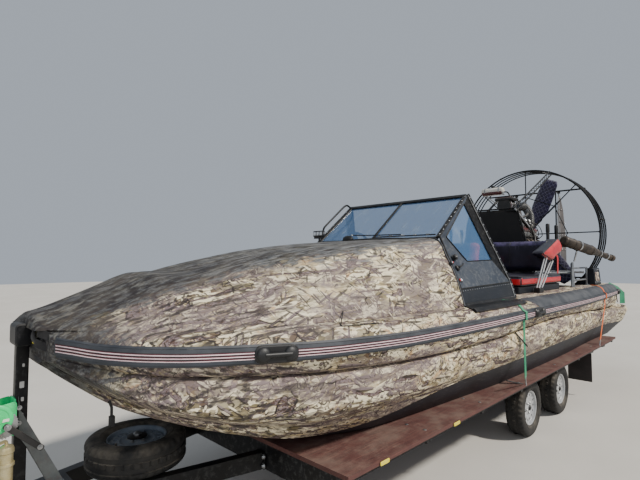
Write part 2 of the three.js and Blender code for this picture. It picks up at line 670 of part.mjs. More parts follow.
function guardFront() {
  const [d] = HOOPS_AFT;
  const spokes = EIGHTHS.map((degrees) => pipe(
    [onGuard(d, degrees, 105), onGuard(d, degrees, GUARD_RADIUS)], 9, 6));
  const web = EIGHTHS.map((degrees) => pipe(
    [onGuard(d, degrees, 640), onGuard(d, degrees + 45, 640)], 7, 6));
  const collar = drum('x', [0, HUB_Z], 116, [aft(d + 12), aft(d - 12)], 24);
  const hole = drum('x', [0, HUB_Z], BEARING.radius + 1.2, [aft(d + 20), aft(d - 20)], 24);
  const lattice = pipe([[aft(d), -105, 2445], onGuard(d, 68, GUARD_RADIUS)], 11, 6);
  return cut(join([hoop(d), ...spokes, ...web, collar, lattice]), [hole]);
}

// Port half of the barrel, which meets the other half at the top and the bottom
function guardBarrel() {
  const [first, ...rest] = HOOPS_AFT;
  const last = rest.at(-1);
  const ties = TIE_DEGREES.map((degrees) => pipe([
    onGuard(first + HOOP_REACH + SEAT, degrees, GUARD_RADIUS), onGuard(last, degrees, GUARD_RADIUS),
  ], 9, 6));
  const foot = slab([[790, TUBE_TOP + SEAT], [1010, TUBE_TOP + SEAT], [985, 1765], [900, 1765]]
    .map(([y, z]) => [aft(last + 20), y, z]), [last - first - 20, 0, 0]);
  const otherHalf = box([aft(last + 50), aft(first)], [-1200, SEAT / 2], [HUB_Z - 1200, HUB_Z + 1200]);
  return cut(join([...rest.map((d) => hoop(d)), ...ties, foot]), [otherHalf]);
}

const PIVOT_RADIUS = 12;
const RUDDER_ENDS = [1600, 3080];

function rudderFrame() {
  const bar = 14;
  const d = HOOPS_AFT.at(-1) + HOOP_REACH + flatOf(bar, 6) + SEAT;
  const pieces = [];
  for (const z of RUDDER_ENDS) {
    const half = Math.sqrt(GUARD_RADIUS ** 2 - (z - HUB_Z) ** 2);
    pieces.push(pipe([[aft(d), -half, z], [aft(d), half, z]], bar, 6));
    for (const side of [-1, 1]) {
      pieces.push(pipe([[aft(d), side * RUDDER_Y, z], [aft(RUDDER_AFT), side * RUDDER_Y, z]], bar, 6));
      pieces.push(drum('z', [aft(RUDDER_AFT), side * RUDDER_Y], 27, [z - 20, z + 20], 16));
    }
  }
  for (const side of [-1, 1]) {
    const y = side * RUDDER_Y;
    pieces.push(pipe([[aft(d), y, RUDDER_ENDS[0]], [aft(d), y, RUDDER_ENDS[1]]], 11, 6));
  }
  const bores = [-1, 1].map((side) => drum(
    'z', [aft(RUDDER_AFT), side * RUDDER_Y], PIVOT_RADIUS + 0.6, [1500, 3200], 16));
  return cut(join(pieces), bores);
}

function rudder() {
  const outline = [[7775, 1660], [7775, 2760], [7840, 3010], [7900, 3030], [8060, 2780], [8180, 2300],
    [8180, 1760], [8100, 1660]];
  const blade = slab(outline.map(([d, z]) => [aft(d), RUDDER_Y - 11, z]), [0, 22, 0]);
  const reach = [RUDDER_ENDS[0] - 18, RUDDER_ENDS[1] + 18];
  const post = drum('z', [aft(RUDDER_AFT), RUDDER_Y], PIVOT_RADIUS, reach, 16);
  const collar = drum('z', [aft(RUDDER_AFT), RUDDER_Y], 20, [RUDDER_ENDS[0] + 20 + SEAT, 1665], 16);
  return join([blade, post, collar]);
}

// Blade sections: distance from the hub's axis, width and thickness of the quilted sleeve
const BLADE = [[60, 90, 80], [170, 120, 84], [300, 240, 76], [520, 330, 66], [900, 300, 54],
  [BLADE_RADIUS, 230, 36]];
const BLADE_PITCH = 24 * Math.PI / 180;

function propeller() {
  const hub = drum('x', [0, HUB_Z], 92, [aft(PROPELLER_AFT + 75), aft(PROPELLER_AFT - 75)], 20);
  const spinner = drum('x', [0, HUB_Z], 40, [aft(PROPELLER_AFT + 130), aft(PROPELLER_AFT + 70)], 16);
  const shaft = drum('x', [0, HUB_Z], SHAFT_RADIUS, [aft(PROPELLER_AFT), aft(7060)], 24);
  const blades = BLADE_ANGLES.map((degrees) => {
    const angle = degrees * Math.PI / 180;
    const out = [0, Math.sin(angle), Math.cos(angle)];
    const across = [0, Math.cos(angle), -Math.sin(angle)];
    return loft(BLADE.map(([radius, width, thick]) => [
      [-0.5, -0.2], [-0.3, -0.5], [0.3, -0.5], [0.5, -0.2], [0.5, 0.2], [0.3, 0.5], [-0.3, 0.5], [-0.5, 0.2],
    ].map(([u, v]) => {
      const [chord, deep] = [u * width, v * thick];
      const side = chord * Math.cos(BLADE_PITCH) - deep * Math.sin(BLADE_PITCH);
      const x = chord * Math.sin(BLADE_PITCH) + deep * Math.cos(BLADE_PITCH);
      const [, y, z] = out.map((value, axis) => value * radius + across[axis] * side);
      return [aft(PROPELLER_AFT) + x, y, HUB_Z + z];
    })));
  });
  return join([hub, spinner, shaft, ...blades]);
}

// Trailer
const CROSS_MEMBERS = [1650, 790, -60, -1120, -1985, -2650, -3230, -3780];
const FLAP_X = -2650;
const BEARER_TOP = DECK_TOP - DECK_THICK - SEAT;
const FRONT_BEAM = [2490, 2545];

function trailerFrame() {
  const pieces = [
    box([FRONT_BEAM[0], FRONT_BEAM[1]], [-FRAME_HALF, FRAME_HALF], [RAIL_BOTTOM, BEARER_TOP]),
    box([DECK_REAR - 15, DECK_REAR + 25], [-1050, 1050], [520, RAIL_TOP]),
  ];
  for (const side of [-1, 1]) {
    const y = side * RAIL_Y;
    pieces.push(box([DECK_REAR, 2500], [y - 25, y + 25], [RAIL_BOTTOM, RAIL_TOP]));
    pieces.push(box([DECK_REAR - 45, DECK_REAR + 5], [side * 900 - 110, side * 900 + 110], [505, 605]));
  }
  return join(pieces);
}

// Cross members on the rails, joined by the edge members that carry the deck's sides
function deckBearers() {
  const pieces = CROSS_MEMBERS.map((x) => (
    box([x - 25, x + 25], [-FRAME_HALF, FRAME_HALF], [RAIL_TOP + SEAT, BEARER_TOP])));
  for (const side of [-1, 1]) {
    const edge = side * (FRAME_HALF - 20);
    pieces.push(box([DECK_REAR, FRONT_BEAM[0] - SEAT], [edge - 20, edge + 20], [624, BEARER_TOP]));
  }
  return join(pieces);
}

const mudFlap = () => box([FLAP_X - 6, FLAP_X + 6], [840, 1140], [200, RAIL_TOP]);

const ARM_ROOT = { x: 2545 + SEAT, y: 430 };
const ARM_TIP = { x: 4150, y: HITCH_Y };
const armY = (x) => ARM_ROOT.y + (ARM_TIP.y - ARM_ROOT.y) * (x - ARM_ROOT.x) / (ARM_TIP.x - ARM_ROOT.x);
const JACK = { x: 3930, y: 205 };
const POST_X = 3900;

function drawbar() {
  const arm = slab([[ARM_ROOT.x, 32], [ARM_ROOT.x, -32], [ARM_TIP.x, -32], [ARM_TIP.x, 32]]
    .map(([x, w]) => [x, armY(x) + w, RAIL_BOTTOM]), [0, 0, RAIL_TOP - RAIL_BOTTOM]);
  const tongue = box([4080, 4510], [-50, 50], [RAIL_BOTTOM, RAIL_TOP]);
  const cup = loft([[4480, 58, 520, 640], [4600, 52, 530, 650], [4650, 45, 535, 640], [HITCH_X, 25, 550, 610]]
    .map(([x, half, low, high]) => [
      [x, -half, low], [x, half, low], [x, half * 0.8, high], [x, -half * 0.8, high]]));
  const plates = [[3840, 3960], [3560, 3680]].map(([a, b]) => (
    box([a, b], [-armY(a), armY(a)], [565, RAIL_TOP])));
  const clamp = box([JACK.x - 25, JACK.x + 25], [armY(JACK.x), JACK.y - 30 - SEAT], [515, 595]);
  return join([arm, mirrored(arm), tongue, cup, ...plates, clamp]);
}

function axle(x) {
  const beamX = x + 160;
  const beam = box([beamX - 35, beamX + 35], [-805, 805], [RAIL_BOTTOM - 70 - SEAT, RAIL_BOTTOM - SEAT]);
  const arms = [-1, 1].map((side) => slab(
    [[beamX + 45, 485], [beamX + 45, 430], [x + 30, 258], [x - 42, 258], [x - 42, 330], [beamX - 35, 485]]
      .map(([px, z]) => [px, side * 803, z]), [0, side * 30, 0]));
  const spindles = [-1, 1].map((side) => drum(
    'y', [x, TYRE_RADIUS], 25.4, side > 0 ? [820, 980] : [-980, -820], 24));
  return join([beam, ...arms, ...spindles]);
}

// Wheel profiles: radius and place along the axle, outboard positive
const RIM = [[0, 60], [34, 58], [75, 40], [120, 54], [166, 44], [166, 70], [178, 70],
  [178, -68], [118, -40], [26, -40], [26, 20], [0, 20]];
const TYRE = [[178.4, -66], [205, -88], [245, -TYRE_HALF_WIDTH], [280, -85], [TYRE_RADIUS, -62],
  [TYRE_RADIUS, 62], [280, 85], [245, TYRE_HALF_WIDTH], [205, 88], [178.4, 66], [178.4, -66]];

function roadWheels() {
  for (const { name, x } of AXLES) {
    for (const [hand, side] of [['port', 1], ['starboard', -1]]) {
      for (const [piece, profile, look] of [['rim', RIM, SILVER], ['tyre', TYRE, RUBBER]]) {
        const mesh = node(`${piece}_${name}_${hand}`, lathe(profile, WHEEL_SIDES), look);
        mesh.position.set(x, side * WHEEL_Y, TYRE_RADIUS);
        mesh.rotation.z = side > 0 ? 0 : Math.PI;
      }
    }
  }
}

function spareWheel() {
  const solid = lathe([[0, 40], [75, 40], [120, 54], [166, 44], [178.4, 66], [205, 88],
    [245, TYRE_HALF_WIDTH], [280, 85], [TYRE_RADIUS, 62], [TYRE_RADIUS, -62], [280, -85],
    [245, -TYRE_HALF_WIDTH], [205, -88], [168, 10], [0, 10]], WHEEL_SIDES);
  return solid.rotateX(Math.PI / 2).translate(3200, 0, RAIL_TOP + TYRE_HALF_WIDTH + SEAT);
}

// Jockey wheel on its screw jack
const JACK_TUBE = 30;
const JOCKEY = { radius: 100, half: 28, trail: 45, bore: 10 };

function jackTube() {
  const { x, y } = JACK;
  const tube = drum('z', [x, y], JACK_TUBE, [380, 905], 16);
  const bore = drum('z', [x, y], 25, [370, 640], 24);
  const crank = pipe([[x, y, 900], [x, y, 935], [x + 95, y + 60, 945], [x + 95, y + 60, 1020]], 8);
  return cut(join([tube, crank]), [bore]);
}

function jackFork() {
  const { x, y } = JACK;
  const { radius, half, trail, bore } = JOCKEY;
  const stem = drum('z', [x, y], 24.3, [215, 560], 16);
  const crown = box([x - trail - 30, x + 32], [y - half - 14, y + half + 14], [208, 222]);
  const sides = [-1, 1].map((side) => slab(
    [[x + 25, 215], [x - trail - 22, 215], [x - trail - 22, radius - 20], [x - trail + 22, radius - 20]]
      .map(([px, z]) => [px, y + side * (half + 6), z]), [0, side * 6, 0]));
  const pin = drum('y', [x - trail, radius], bore - 0.6, [y - half - 14, y + half + 14], 16);
  return join([stem, crown, ...sides, pin]);
}

function jockeyWheel() {
  const { radius, half, bore } = JOCKEY;
  const profile = [[bore, -half], [60, -half], [66, -half + 8], [radius - 8, -half + 4], [radius, -half + 12],
    [radius, half - 12], [radius - 8, half - 4], [66, half - 8], [60, half], [bore, half], [bore, -half]];
  return lathe(profile, 20);
}

function winchPost() {
  const post = box([POST_X - 30, POST_X + 30], [-30, 30], [RAIL_TOP + SEAT, 1500]);
  const foot = box([POST_X - 55, POST_X + 55], [-60, 60], [RAIL_TOP + SEAT, RAIL_TOP + 10]);
  const brace = slab([[3880, 1085], [3880, 1025], [3650, RAIL_TOP + SEAT], [3590, RAIL_TOP + SEAT]]
    .map(([x, z]) => [x, -20, z]), [0, 40, 0]);
  return join([post, foot, brace]);
}

const bowStop = () => box([BOW_X + SEAT, POST_X - 30 - SEAT], [-82, 82], [1405, 1530]);

function winch() {
  const face = POST_X + 30 + SEAT;
  const mount = box([face, face + 8], [-45, 60], [925, 1115]);
  const cheek = [[face, 935], [face + 120, 960], [face + 150, 1020], [face + 110, 1095], [face, 1110]];
  const cheeks = [-62, 78].map((y) => slab(cheek.map(([x, z]) => [x, y, z]), [0, 6, 0]));
  const reel = drum('y', [face + 80, 1025], 52, [-60, 82], 16);
  const tie = box([face, face + 20], [-60, 82], [940, 960]);
  const gear = drum('y', [face + 60, 1000], 70, [84, 96], 20);
  const crank = pipe([[face + 60, 90, 1000], [face + 60, 125, 1000], [face + 200, 140, 930],
    [face + 200, 215, 930]], 8);
  return join([mount, ...cheeks, reel, tie, gear, crank]);
}

// Assembly
const cover = foreCover();
node('hull_bottom', hullBottom(), GREY_RUBBER);
pair('side_tube', sideTube(), CAMO);
pair('rub_rail', rubRail(), RAIL_RUBBER);
node('fore_cover', cover, CAMO);
node('cockpit_floor', cockpitFloor(), BLACK_PLASTIC);
node('windscreen_frame', windscreenFrame(), BLACK_PAINT);
node('windscreen_pane_port', screenPane(1), CLEAR);
node('windscreen_pane_starboard', screenPane(-1), CLEAR);
pair('wing_panel', wingPanel(), GREY_PANEL);
pair('wing_pane', wingPane(), CLEAR);
node('work_light', workLight(cover), BLACK_PLASTIC);
node('dashboard', dashboard(), BLACK_PLASTIC);
node('steering_wheel', steeringWheel(), BLACK_PLASTIC);
pair('front_seat', frontSeat(), UPHOLSTERY);
node('bench_locker', benchLocker(), BLACK_PLASTIC);
node('bench_cushion', benchCushion(), UPHOLSTERY);
node('bench_back', benchBack(), UPHOLSTERY);
node('engine_frame', engineFrame(), STEEL);
pair('side_rail', sideRail(), STEEL);
node('engine', engine(), ENGINE);
node('engine_screen', engineScreen(), BLACK_PLASTIC);
node('drive_housing', driveHousing(), ENGINE);
node('exhaust', exhaust(), STEEL);
node('header_tank', headerTank(), WHITE);
node('guard_front', guardFront(), BLACK_PAINT);
pair('guard_barrel', guardBarrel(), BLACK_PAINT);
node('rudder_frame', rudderFrame(), BLACK_PAINT);
pair('rudder', rudder(), STEEL);
node('propeller', propeller(), QUILT);
node('trailer_frame', trailerFrame(), BLACK_PAINT);
node('deck_bearers', deckBearers(), BLACK_PAINT);
pair('mud_flap', mudFlap(), RUBBER);
node('drawbar', drawbar(), BLACK_PAINT);
const deck = box([DECK_REAR, DECK_FRONT], [-DECK_HALF, DECK_HALF], [DECK_TOP - DECK_THICK, DECK_TOP]);
node('trailer_deck', deck, PLYWOOD);
for (const { name, x } of AXLES) node(`axle_${name}`, axle(x), BLACK_PAINT);
roadWheels();
node('spare_wheel', spareWheel(), RUBBER);
node('jack_tube', jackTube(), STEEL);
node('jack_fork', jackFork(), STEEL);
const jockey = node('jockey_wheel', jockeyWheel(), RUBBER);
jockey.position.set(JACK.x - JOCKEY.trail, JACK.y, JOCKEY.radius);
node('winch_post', winchPost(), BLACK_PAINT);
node('bow_stop', bowStop(), RUBBER);
node('winch', winch(), GREEN);

export default craft;
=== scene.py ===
"""Finish of the camouflage airboat and its trailer. Metres: +X to the bow, +Y to port, +Z up."""
import json
import math

import bmesh
import bpy
from mathutils import Matrix, Vector
from mathutils.noise import noise


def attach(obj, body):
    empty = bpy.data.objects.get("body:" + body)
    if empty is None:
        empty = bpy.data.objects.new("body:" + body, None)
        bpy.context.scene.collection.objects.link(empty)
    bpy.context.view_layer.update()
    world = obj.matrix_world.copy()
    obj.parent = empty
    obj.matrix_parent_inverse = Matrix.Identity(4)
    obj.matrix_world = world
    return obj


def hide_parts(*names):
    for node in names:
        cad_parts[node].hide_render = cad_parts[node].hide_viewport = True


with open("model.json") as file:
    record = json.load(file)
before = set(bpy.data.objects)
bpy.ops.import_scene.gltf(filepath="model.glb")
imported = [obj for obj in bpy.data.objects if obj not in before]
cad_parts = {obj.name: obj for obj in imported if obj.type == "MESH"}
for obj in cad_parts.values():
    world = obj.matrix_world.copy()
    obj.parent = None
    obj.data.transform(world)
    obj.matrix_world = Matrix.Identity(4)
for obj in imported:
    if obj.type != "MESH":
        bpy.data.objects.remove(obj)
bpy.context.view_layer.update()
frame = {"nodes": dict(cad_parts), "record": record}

CRAFT = "craft_and_trailer"
BOW_X = 3.785
SIDES = (("port", 1), ("starboard", -1))
SOLE_TOP = 0.9304
TUBE_TOP = 1.4984


def aft(distance):
    """Place along X at a distance aft of the nose."""
    return BOW_X - distance


def placed(name, data):
    """A new object that holds the data, linked to the scene."""
    made = bpy.data.objects.new(name, data)
    bpy.context.collection.objects.link(made)
    return made


# Camera and studio
SENSOR_WIDTH = 36
FOCAL_PIXELS = 444
PHOTO_WIDTH = 640


def look(thing, place, direction):
    thing.location = place
    thing.rotation_euler = Vector(direction).to_track_quat("-Z", "Y").to_euler()


def place_camera():
    data = bpy.data.cameras.new("photo_camera")
    data.sensor_width = SENSOR_WIDTH
    data.lens = SENSOR_WIDTH * FOCAL_PIXELS / PHOTO_WIDTH
    camera = placed("photo_camera", data)
    look(camera, (4.425, 2.84, 1.874), (-0.711, -0.703, 0.0473))
    bpy.context.scene.camera = camera


def lamp(name, kind, energy, direction, place=(0, 0, 8), **settings):
    data = bpy.data.lights.new(name, kind)
    data.energy = energy
    for key, value in settings.items():
        setattr(data, key, value)
    look(placed(name, data), place, direction)


def light_studio():
    world = bpy.data.worlds.new("studio")
    bpy.context.scene.world = world
    world.use_nodes = True
    background = world.node_tree.nodes["Background"]
    background.inputs["Color"].default_value = (0.74, 0.82, 0.93, 1)
    background.inputs["Strength"].default_value = 0.55
    lamp("key_light", "SUN", 4.6, (0.25, -0.67, -0.7), angle=0.09, color=(1, 0.95, 0.87))
    lamp("bow_fill", "AREA", 150, (-0.7, -0.6, -0.35), (7.5, 5.5, 4.2), size=4.0)


# Shader nodes
def tone(red, green, blue):
    """Screen colour, 0 to 255 a channel, as the linear colour a shader takes."""
    return tuple((value / 255) ** 2.2 for value in (red, green, blue)) + (1,)


class Net:
    """Nodes of one shader tree. Each method adds a node and gives back its output."""

    def __init__(self, tree):
        self.tree = tree

    def feed(self, socket, value):
        if isinstance(value, bpy.types.NodeSocket):
            self.tree.links.new(value, socket)
        else:
            socket.default_value = value

    def add(self, kind, inputs, output=0, **settings):
        node = self.tree.nodes.new("ShaderNode" + kind)
        for name, value in settings.items():
            setattr(node, name, value)
        for key, value in inputs.items():
            self.feed(node.inputs[key], value)
        return node.outputs[output]

    def use(self, effect, **inputs):
        """Places a shared effect and gives back all its outputs."""
        node = self.tree.nodes.new("ShaderNodeGroup")
        node.node_tree = effect
        for name, value in inputs.items():
            self.feed(node.inputs[name], value)
        return node.outputs

    def place(self, scale=(1, 1, 1), turn=(0, 0, 0), source="Object"):
        return self.moved(self.add("TexCoord", {}, source), scale, turn)

    def moved(self, where, scale=(1, 1, 1), turn=(0, 0, 0)):
        return self.add("Mapping", {"Vector": where, "Scale": scale, "Rotation": turn})

    def noise(self, where, scale, detail=3.0, roughness=0.5, output="Fac"):
        settings = {"Vector": where, "Scale": scale, "Detail": detail, "Roughness": roughness}
        return self.add("TexNoise", settings, output)

    def cells(self, where, scale, output="Distance", feature="F1"):
        return self.add("TexVoronoi", {"Vector": where, "Scale": scale}, output, feature=feature)

    def math(self, operation, a, b=0.0):
        return self.add("Math", {0: a, 1: b}, operation=operation)

    def plus(self, a, b):
        return self.math("ADD", a, b)

    def minus(self, a, b):
        return self.math("SUBTRACT", a, b)

    def times(self, a, b):
        return self.math("MULTIPLY", a, b)

    def line(self, value, slope, start):
        """The value times slope, plus start."""
        return self.add("Math", {0: value, 1: slope, 2: start}, operation="MULTIPLY_ADD")

    def vector(self, operation, a, b):
        return self.add("VectorMath", {0: a, 1: b}, operation=operation)

    def step(self, value, low, high):
        """0 below low and 1 above high, or the other way round where high is the smaller."""
        return self.add("MapRange", {"Value": value, "From Min": low, "From Max": high},
                        interpolation_type="SMOOTHSTEP")

    def mix(self, factor, a, b):
        return self.add("Mix", {0: factor, 6: a, 7: b}, 2, data_type="RGBA")

    def blend(self, colour, mask, share, shade):
        """The colour, with that share of the shade where the mask is."""
        return self.mix(self.times(mask, share), colour, shade)

    def ramp(self, value, stops):
        node = self.tree.nodes.new("ShaderNodeValToRGB")
        elements = node.color_ramp.elements
        while len(elements) < len(stops):
            elements.new(1)
        for element, (place, colour) in zip(elements, stops):
            element.position = place
            element.color = colour
        self.feed(node.inputs["Fac"], value)
        return node.outputs["Color"]

    def axis(self, vector, name):
        return self.add("SeparateXYZ", {"Vector": vector}, name)


def effect(name, inputs, outputs, draw):
    """A shader node group. draw(net, given) gives back a value for each named output."""
    tree = bpy.data.node_groups.new(name, "ShaderNodeTree")
    for label, kind, value in inputs:
        socket = tree.interface.new_socket(label, in_out="INPUT", socket_type="NodeSocket" + kind)
        socket.default_value = value
    for label, kind in outputs:
        tree.interface.new_socket(label, in_out="OUTPUT", socket_type="NodeSocket" + kind)
    given = tree.nodes.new("NodeGroupInput").outputs
    end = tree.nodes.new("NodeGroupOutput")
    for label, value in draw(Net(tree), given).items():
        tree.links.new(value, end.inputs[label])
    return tree


# Effects shared by several finishes
def draw_dust(net, given):
    patches = net.step(net.noise(net.place(), 5, 5, 0.65), 0.35, 0.7)
    facing = net.axis(net.add("NewGeometry", {}, "Normal"), "Z")
    lying = net.step(facing, -0.3, 0.95)
    amount = net.times(net.times(patches, lying), given["Amount"])
    return {"Color": net.mix(amount, given["Color"], given["Dust"]), "Mask": amount}


def draw_wear(net, given):
    edge = net.step(net.add("NewGeometry", {}, "Pointiness"), 0.53, 0.62)
    chipped = net.step(net.noise(net.place(), 26, 6, 0.75), 0.5, 0.62)
    mask = net.times(net.times(edge, chipped), given["Amount"])
    return {"Color": net.mix(mask, given["Color"], given["Under"]), "Mask": mask}


def draw_weave(net, given):
    where = net.place()
    across = net.plus(net.axis(where, "Y"), net.axis(where, "Z"))
    threads = []
    for value in (net.axis(where, "X"), across):
        turns = net.times(value, given["Threads"])
        threads.append(net.math("SINE", net.times(turns, 2 * math.pi)))
    return {"Height": net.line(net.times(threads[0], threads[1]), 0.5, 0.5)}


def draw_scratches(net, given):
    lines = []
    for turn in (0.2, 1.3):
        where = net.place((2, 45, 45), (turn, 0.4, turn))
        lines.append(net.step(net.noise(where, 3, 2), 0.66, 0.7))
    return {"Mask": net.times(net.math("MAXIMUM", lines[0], lines[1]), given["Amount"])}


CREAM = tone(208, 188, 146)
PALE = tone(238, 226, 196)
TAN = tone(176, 116, 68)
OLIVE = tone(118, 108, 76)
BROWN = tone(76, 56, 46)
MAUVE = tone(122, 108, 110)
TWIG = tone(34, 27, 25)
STICKS = ((0.1, 2.0, 24, 0.5), (-0.32, 2.6, 30, 0.55), (0.7, 3.6, 34, 0.6), (-0.9, 4.2, 38, 0.62),
          (1.35, 5.5, 44, 0.66))


def draw_camouflage(net, given):
    """Printed bark, leaves and twigs on a cream ground. The branches lie lengthwise."""
    shift = net.vector("SUBTRACT", net.noise(given["Vector"], 2.3, 4, output="Color"), (0.5, 0.5, 0.5))
    bend = net.add("VectorMath", {0: shift, "Scale": 0.16}, operation="SCALE")
    where = net.vector("ADD", given["Vector"], bend)
    speckle = net.noise(net.moved(where, (0.45, 1, 1)), 95, 3, 0.8)
    grain = net.noise(net.moved(where, (0.22, 4, 4)), 10, 5, 0.7)
    colour = net.mix(net.step(net.noise(where, 9, 5, 0.65), 0.4, 0.6), PALE, CREAM)
    colour = net.blend(colour, net.step(grain, 0.5, 0.62), 0.4, MAUVE)
    for scale, low, shade in ((5.3, 0.55, TAN), (6.1, 0.54, OLIVE), (4.4, 0.56, BROWN)):
        leaf = net.noise(net.moved(where, (0.8, 1.3, 1.3), (scale, 0.3, scale)), scale, 5, 0.62)
        shown = net.times(net.step(leaf, low, low + 0.06), net.step(speckle, 0.36, 0.56))
        colour = net.blend(colour, shown, 0.6, shade)
    patch = net.noise(net.moved(where, (0.42, 1.7, 1.7), (0.1, 0.05, 0.12)), 3.1, 5, 0.6)
    rough = net.times(net.step(patch, 0.49, 0.54), net.step(speckle, 0.3, 0.58))
    colour = net.blend(colour, rough, 0.85, MAUVE)
    core = net.times(net.step(patch, 0.52, 0.58), net.step(grain, 0.5, 0.62))
    colour = net.blend(colour, core, 0.8, BROWN)
    cluster = net.step(net.noise(where, 3.2, 3), 0.4, 0.52)
    for scale, turn, share in ((19, 0.9, 0.62), (33, 0.3, 0.6), (13, -0.5, 0.78)):
        spot = net.moved(where, (0.6, 1.5, 1.5), (0.5, turn, turn))
        chance = net.cells(spot, scale, "Color")
        scraps = (("X", share, 0.9, PALE), ("Y", 0.8, 0.75, BROWN), ("Z", 0.84, 0.7, OLIVE))
        for axis, low, strength, shade in scraps:
            chosen = net.times(net.step(net.axis(chance, axis), low, low + 0.01), cluster)
            colour = net.blend(colour, chosen, strength, shade)
    for scale, tilt, low, thick in ((2.1, 0.08, 0.5, 0.05), (3.1, -0.14, 0.53, 0.045)):
        place = net.moved(where, (0.3, 2.1, 2.1), (0.1, tilt, tilt))
        off = net.cells(place, scale, feature="DISTANCE_TO_EDGE")
        shown = net.step(net.noise(place, scale * 1.5, 3), low, low + 0.04)
        bark = net.mix(net.step(speckle, 0.42, 0.56), BROWN, MAUVE)
        bark = net.mix(net.step(grain, 0.52, 0.6), bark, CREAM)
        colour = net.mix(net.times(net.step(off, thick, thick * 0.85), shown), colour, TWIG)
        colour = net.mix(net.times(net.step(off, thick * 0.78, thick * 0.6), shown), colour, bark)
    for scale, turn, thick in ((4.2, 0.2, 0.016), (6.5, 0.9, 0.02), (9.5, 1.7, 0.024), (7.5, -0.6, 0.018)):
        place = net.moved(where, (0.5, 1.5, 1.5), (turn, 0.3, turn * 0.6))
        off = net.cells(place, scale, feature="DISTANCE_TO_EDGE")
        shown = net.step(net.noise(place, scale * 1.6, 2), 0.54, 0.57)
        colour = net.blend(colour, net.times(net.step(off, thick, thick * 0.4), shown), 0.88, TWIG)
    for tilt, along, across, share in STICKS:
        turned = net.moved(given["Vector"], (1, 1, 1), (0, tilt, tilt * 0.6))
        place = net.moved(turned, (along, across, across))
        under = net.vector("ADD", place, (0.05, 0.14, 0.2))
        for spot, size in ((under, 0.31), (place, 0.25)):
            chance = net.cells(spot, 1, "Color")
            chosen = net.step(net.axis(chance, "X"), share, share + 0.02)
            lies = net.times(net.step(net.cells(spot, 1), size, size * 0.86), chosen)
            pale = net.mix(net.step(net.axis(chance, "Y"), 0.2, 0.5), PALE, MAUVE)
            colour = net.blend(colour, lies, 0.85, TWIG if spot is under else pale)
    colour = net.blend(colour, rough, 0.62, MAUVE)
    vein = net.cells(net.moved(where, (0.5, 1.5, 1.5), (0.4, 0.3, 0.2)), 5.2, feature="DISTANCE_TO_EDGE")
    shown = net.step(net.noise(where, 7, 3), 0.56, 0.6)
    colour = net.blend(colour, net.times(net.step(vein, 0.018, 0.006), shown), 0.9, TWIG)
    return {"Color": colour, "Height": speckle}


DUST = effect("dust", [("Color", "Color", (1, 1, 1, 1)), ("Dust", "Color", tone(176, 164, 146)),
                       ("Amount", "Float", 0.3)], [("Color", "Color"), ("Mask", "Float")], draw_dust)
WEAR = effect("worn_edges", [("Color", "Color", (1, 1, 1, 1)), ("Under", "Color", tone(150, 148, 144)),
                             ("Amount", "Float", 0.5)], [("Color", "Color"), ("Mask", "Float")], draw_wear)
WEAVE = effect("woven_threads", [("Threads", "Float", 400)], [("Height", "Float")], draw_weave)
SCRATCHES = effect("scratches", [("Amount", "Float", 0.3)], [("Mask", "Float")], draw_scratches)
PRINT = effect("camouflage_print", [("Vector", "Vector", (0, 0, 0))],
               [("Color", "Color"), ("Height", "Float")], draw_camouflage)


# Finishes
def surface(name, draw, **shader):
    """A material whose draw(net) gives a value for each shader input, and Height with Depth for its bump."""
    material = bpy.data.materials.new(name)
    material.use_nodes = True
    net = Net(material.node_tree)
    principled = material.node_tree.nodes["Principled BSDF"]
    drawn = draw(net)
    if "Height" in drawn:
        bump = {"Height": drawn.pop("Height"), "Distance": drawn.pop("Depth")}
        drawn["Normal"] = net.add("Bump", bump)
    for label, value in drawn.items():
        net.feed(principled.inputs[label], value)
    for label, value in shader.items():
        principled.inputs[label.replace("_", " ")].default_value = value
    return material


def coat(name, first, second, rough, blotch=4, grain=(350, 0.0003), dust=0.25, wear=None, scratches=0.0,
         threads=0, **shader):
    """Painted, cast, moulded or woven finish in two tones."""
    def draw(net):
        soft = net.noise(net.place(), blotch, 5, 0.6)
        colour = net.mix(net.step(soft, 0.3, 0.7), tone(*first), tone(*second))
        fine = net.noise(net.place(), grain[0], 3, 0.6)
        height = net.use(WEAVE, Threads=threads)["Height"] if threads else fine
        # Painted shade: the low points of the grain or weave are darkened.
        colour = net.blend(colour, net.step(height, 0.6, 0.3), 0.25, tone(10, 10, 12))
        roughness = net.line(soft, 0.24, rough - 0.12)
        if wear:
            colour = net.use(WEAR, Color=colour, Under=wear[0], Amount=wear[1])["Color"]
        if scratches:
            colour = net.mix(net.use(SCRATCHES, Amount=scratches)["Mask"], colour, tone(170, 168, 164))
        dusty = net.use(DUST, Color=colour, Amount=dust)
        return {"Base Color": dusty["Color"], "Roughness": net.math("MAXIMUM", roughness, dusty["Mask"]),
                "Height": height, "Depth": grain[1]}
    return surface(name, draw, **shader)


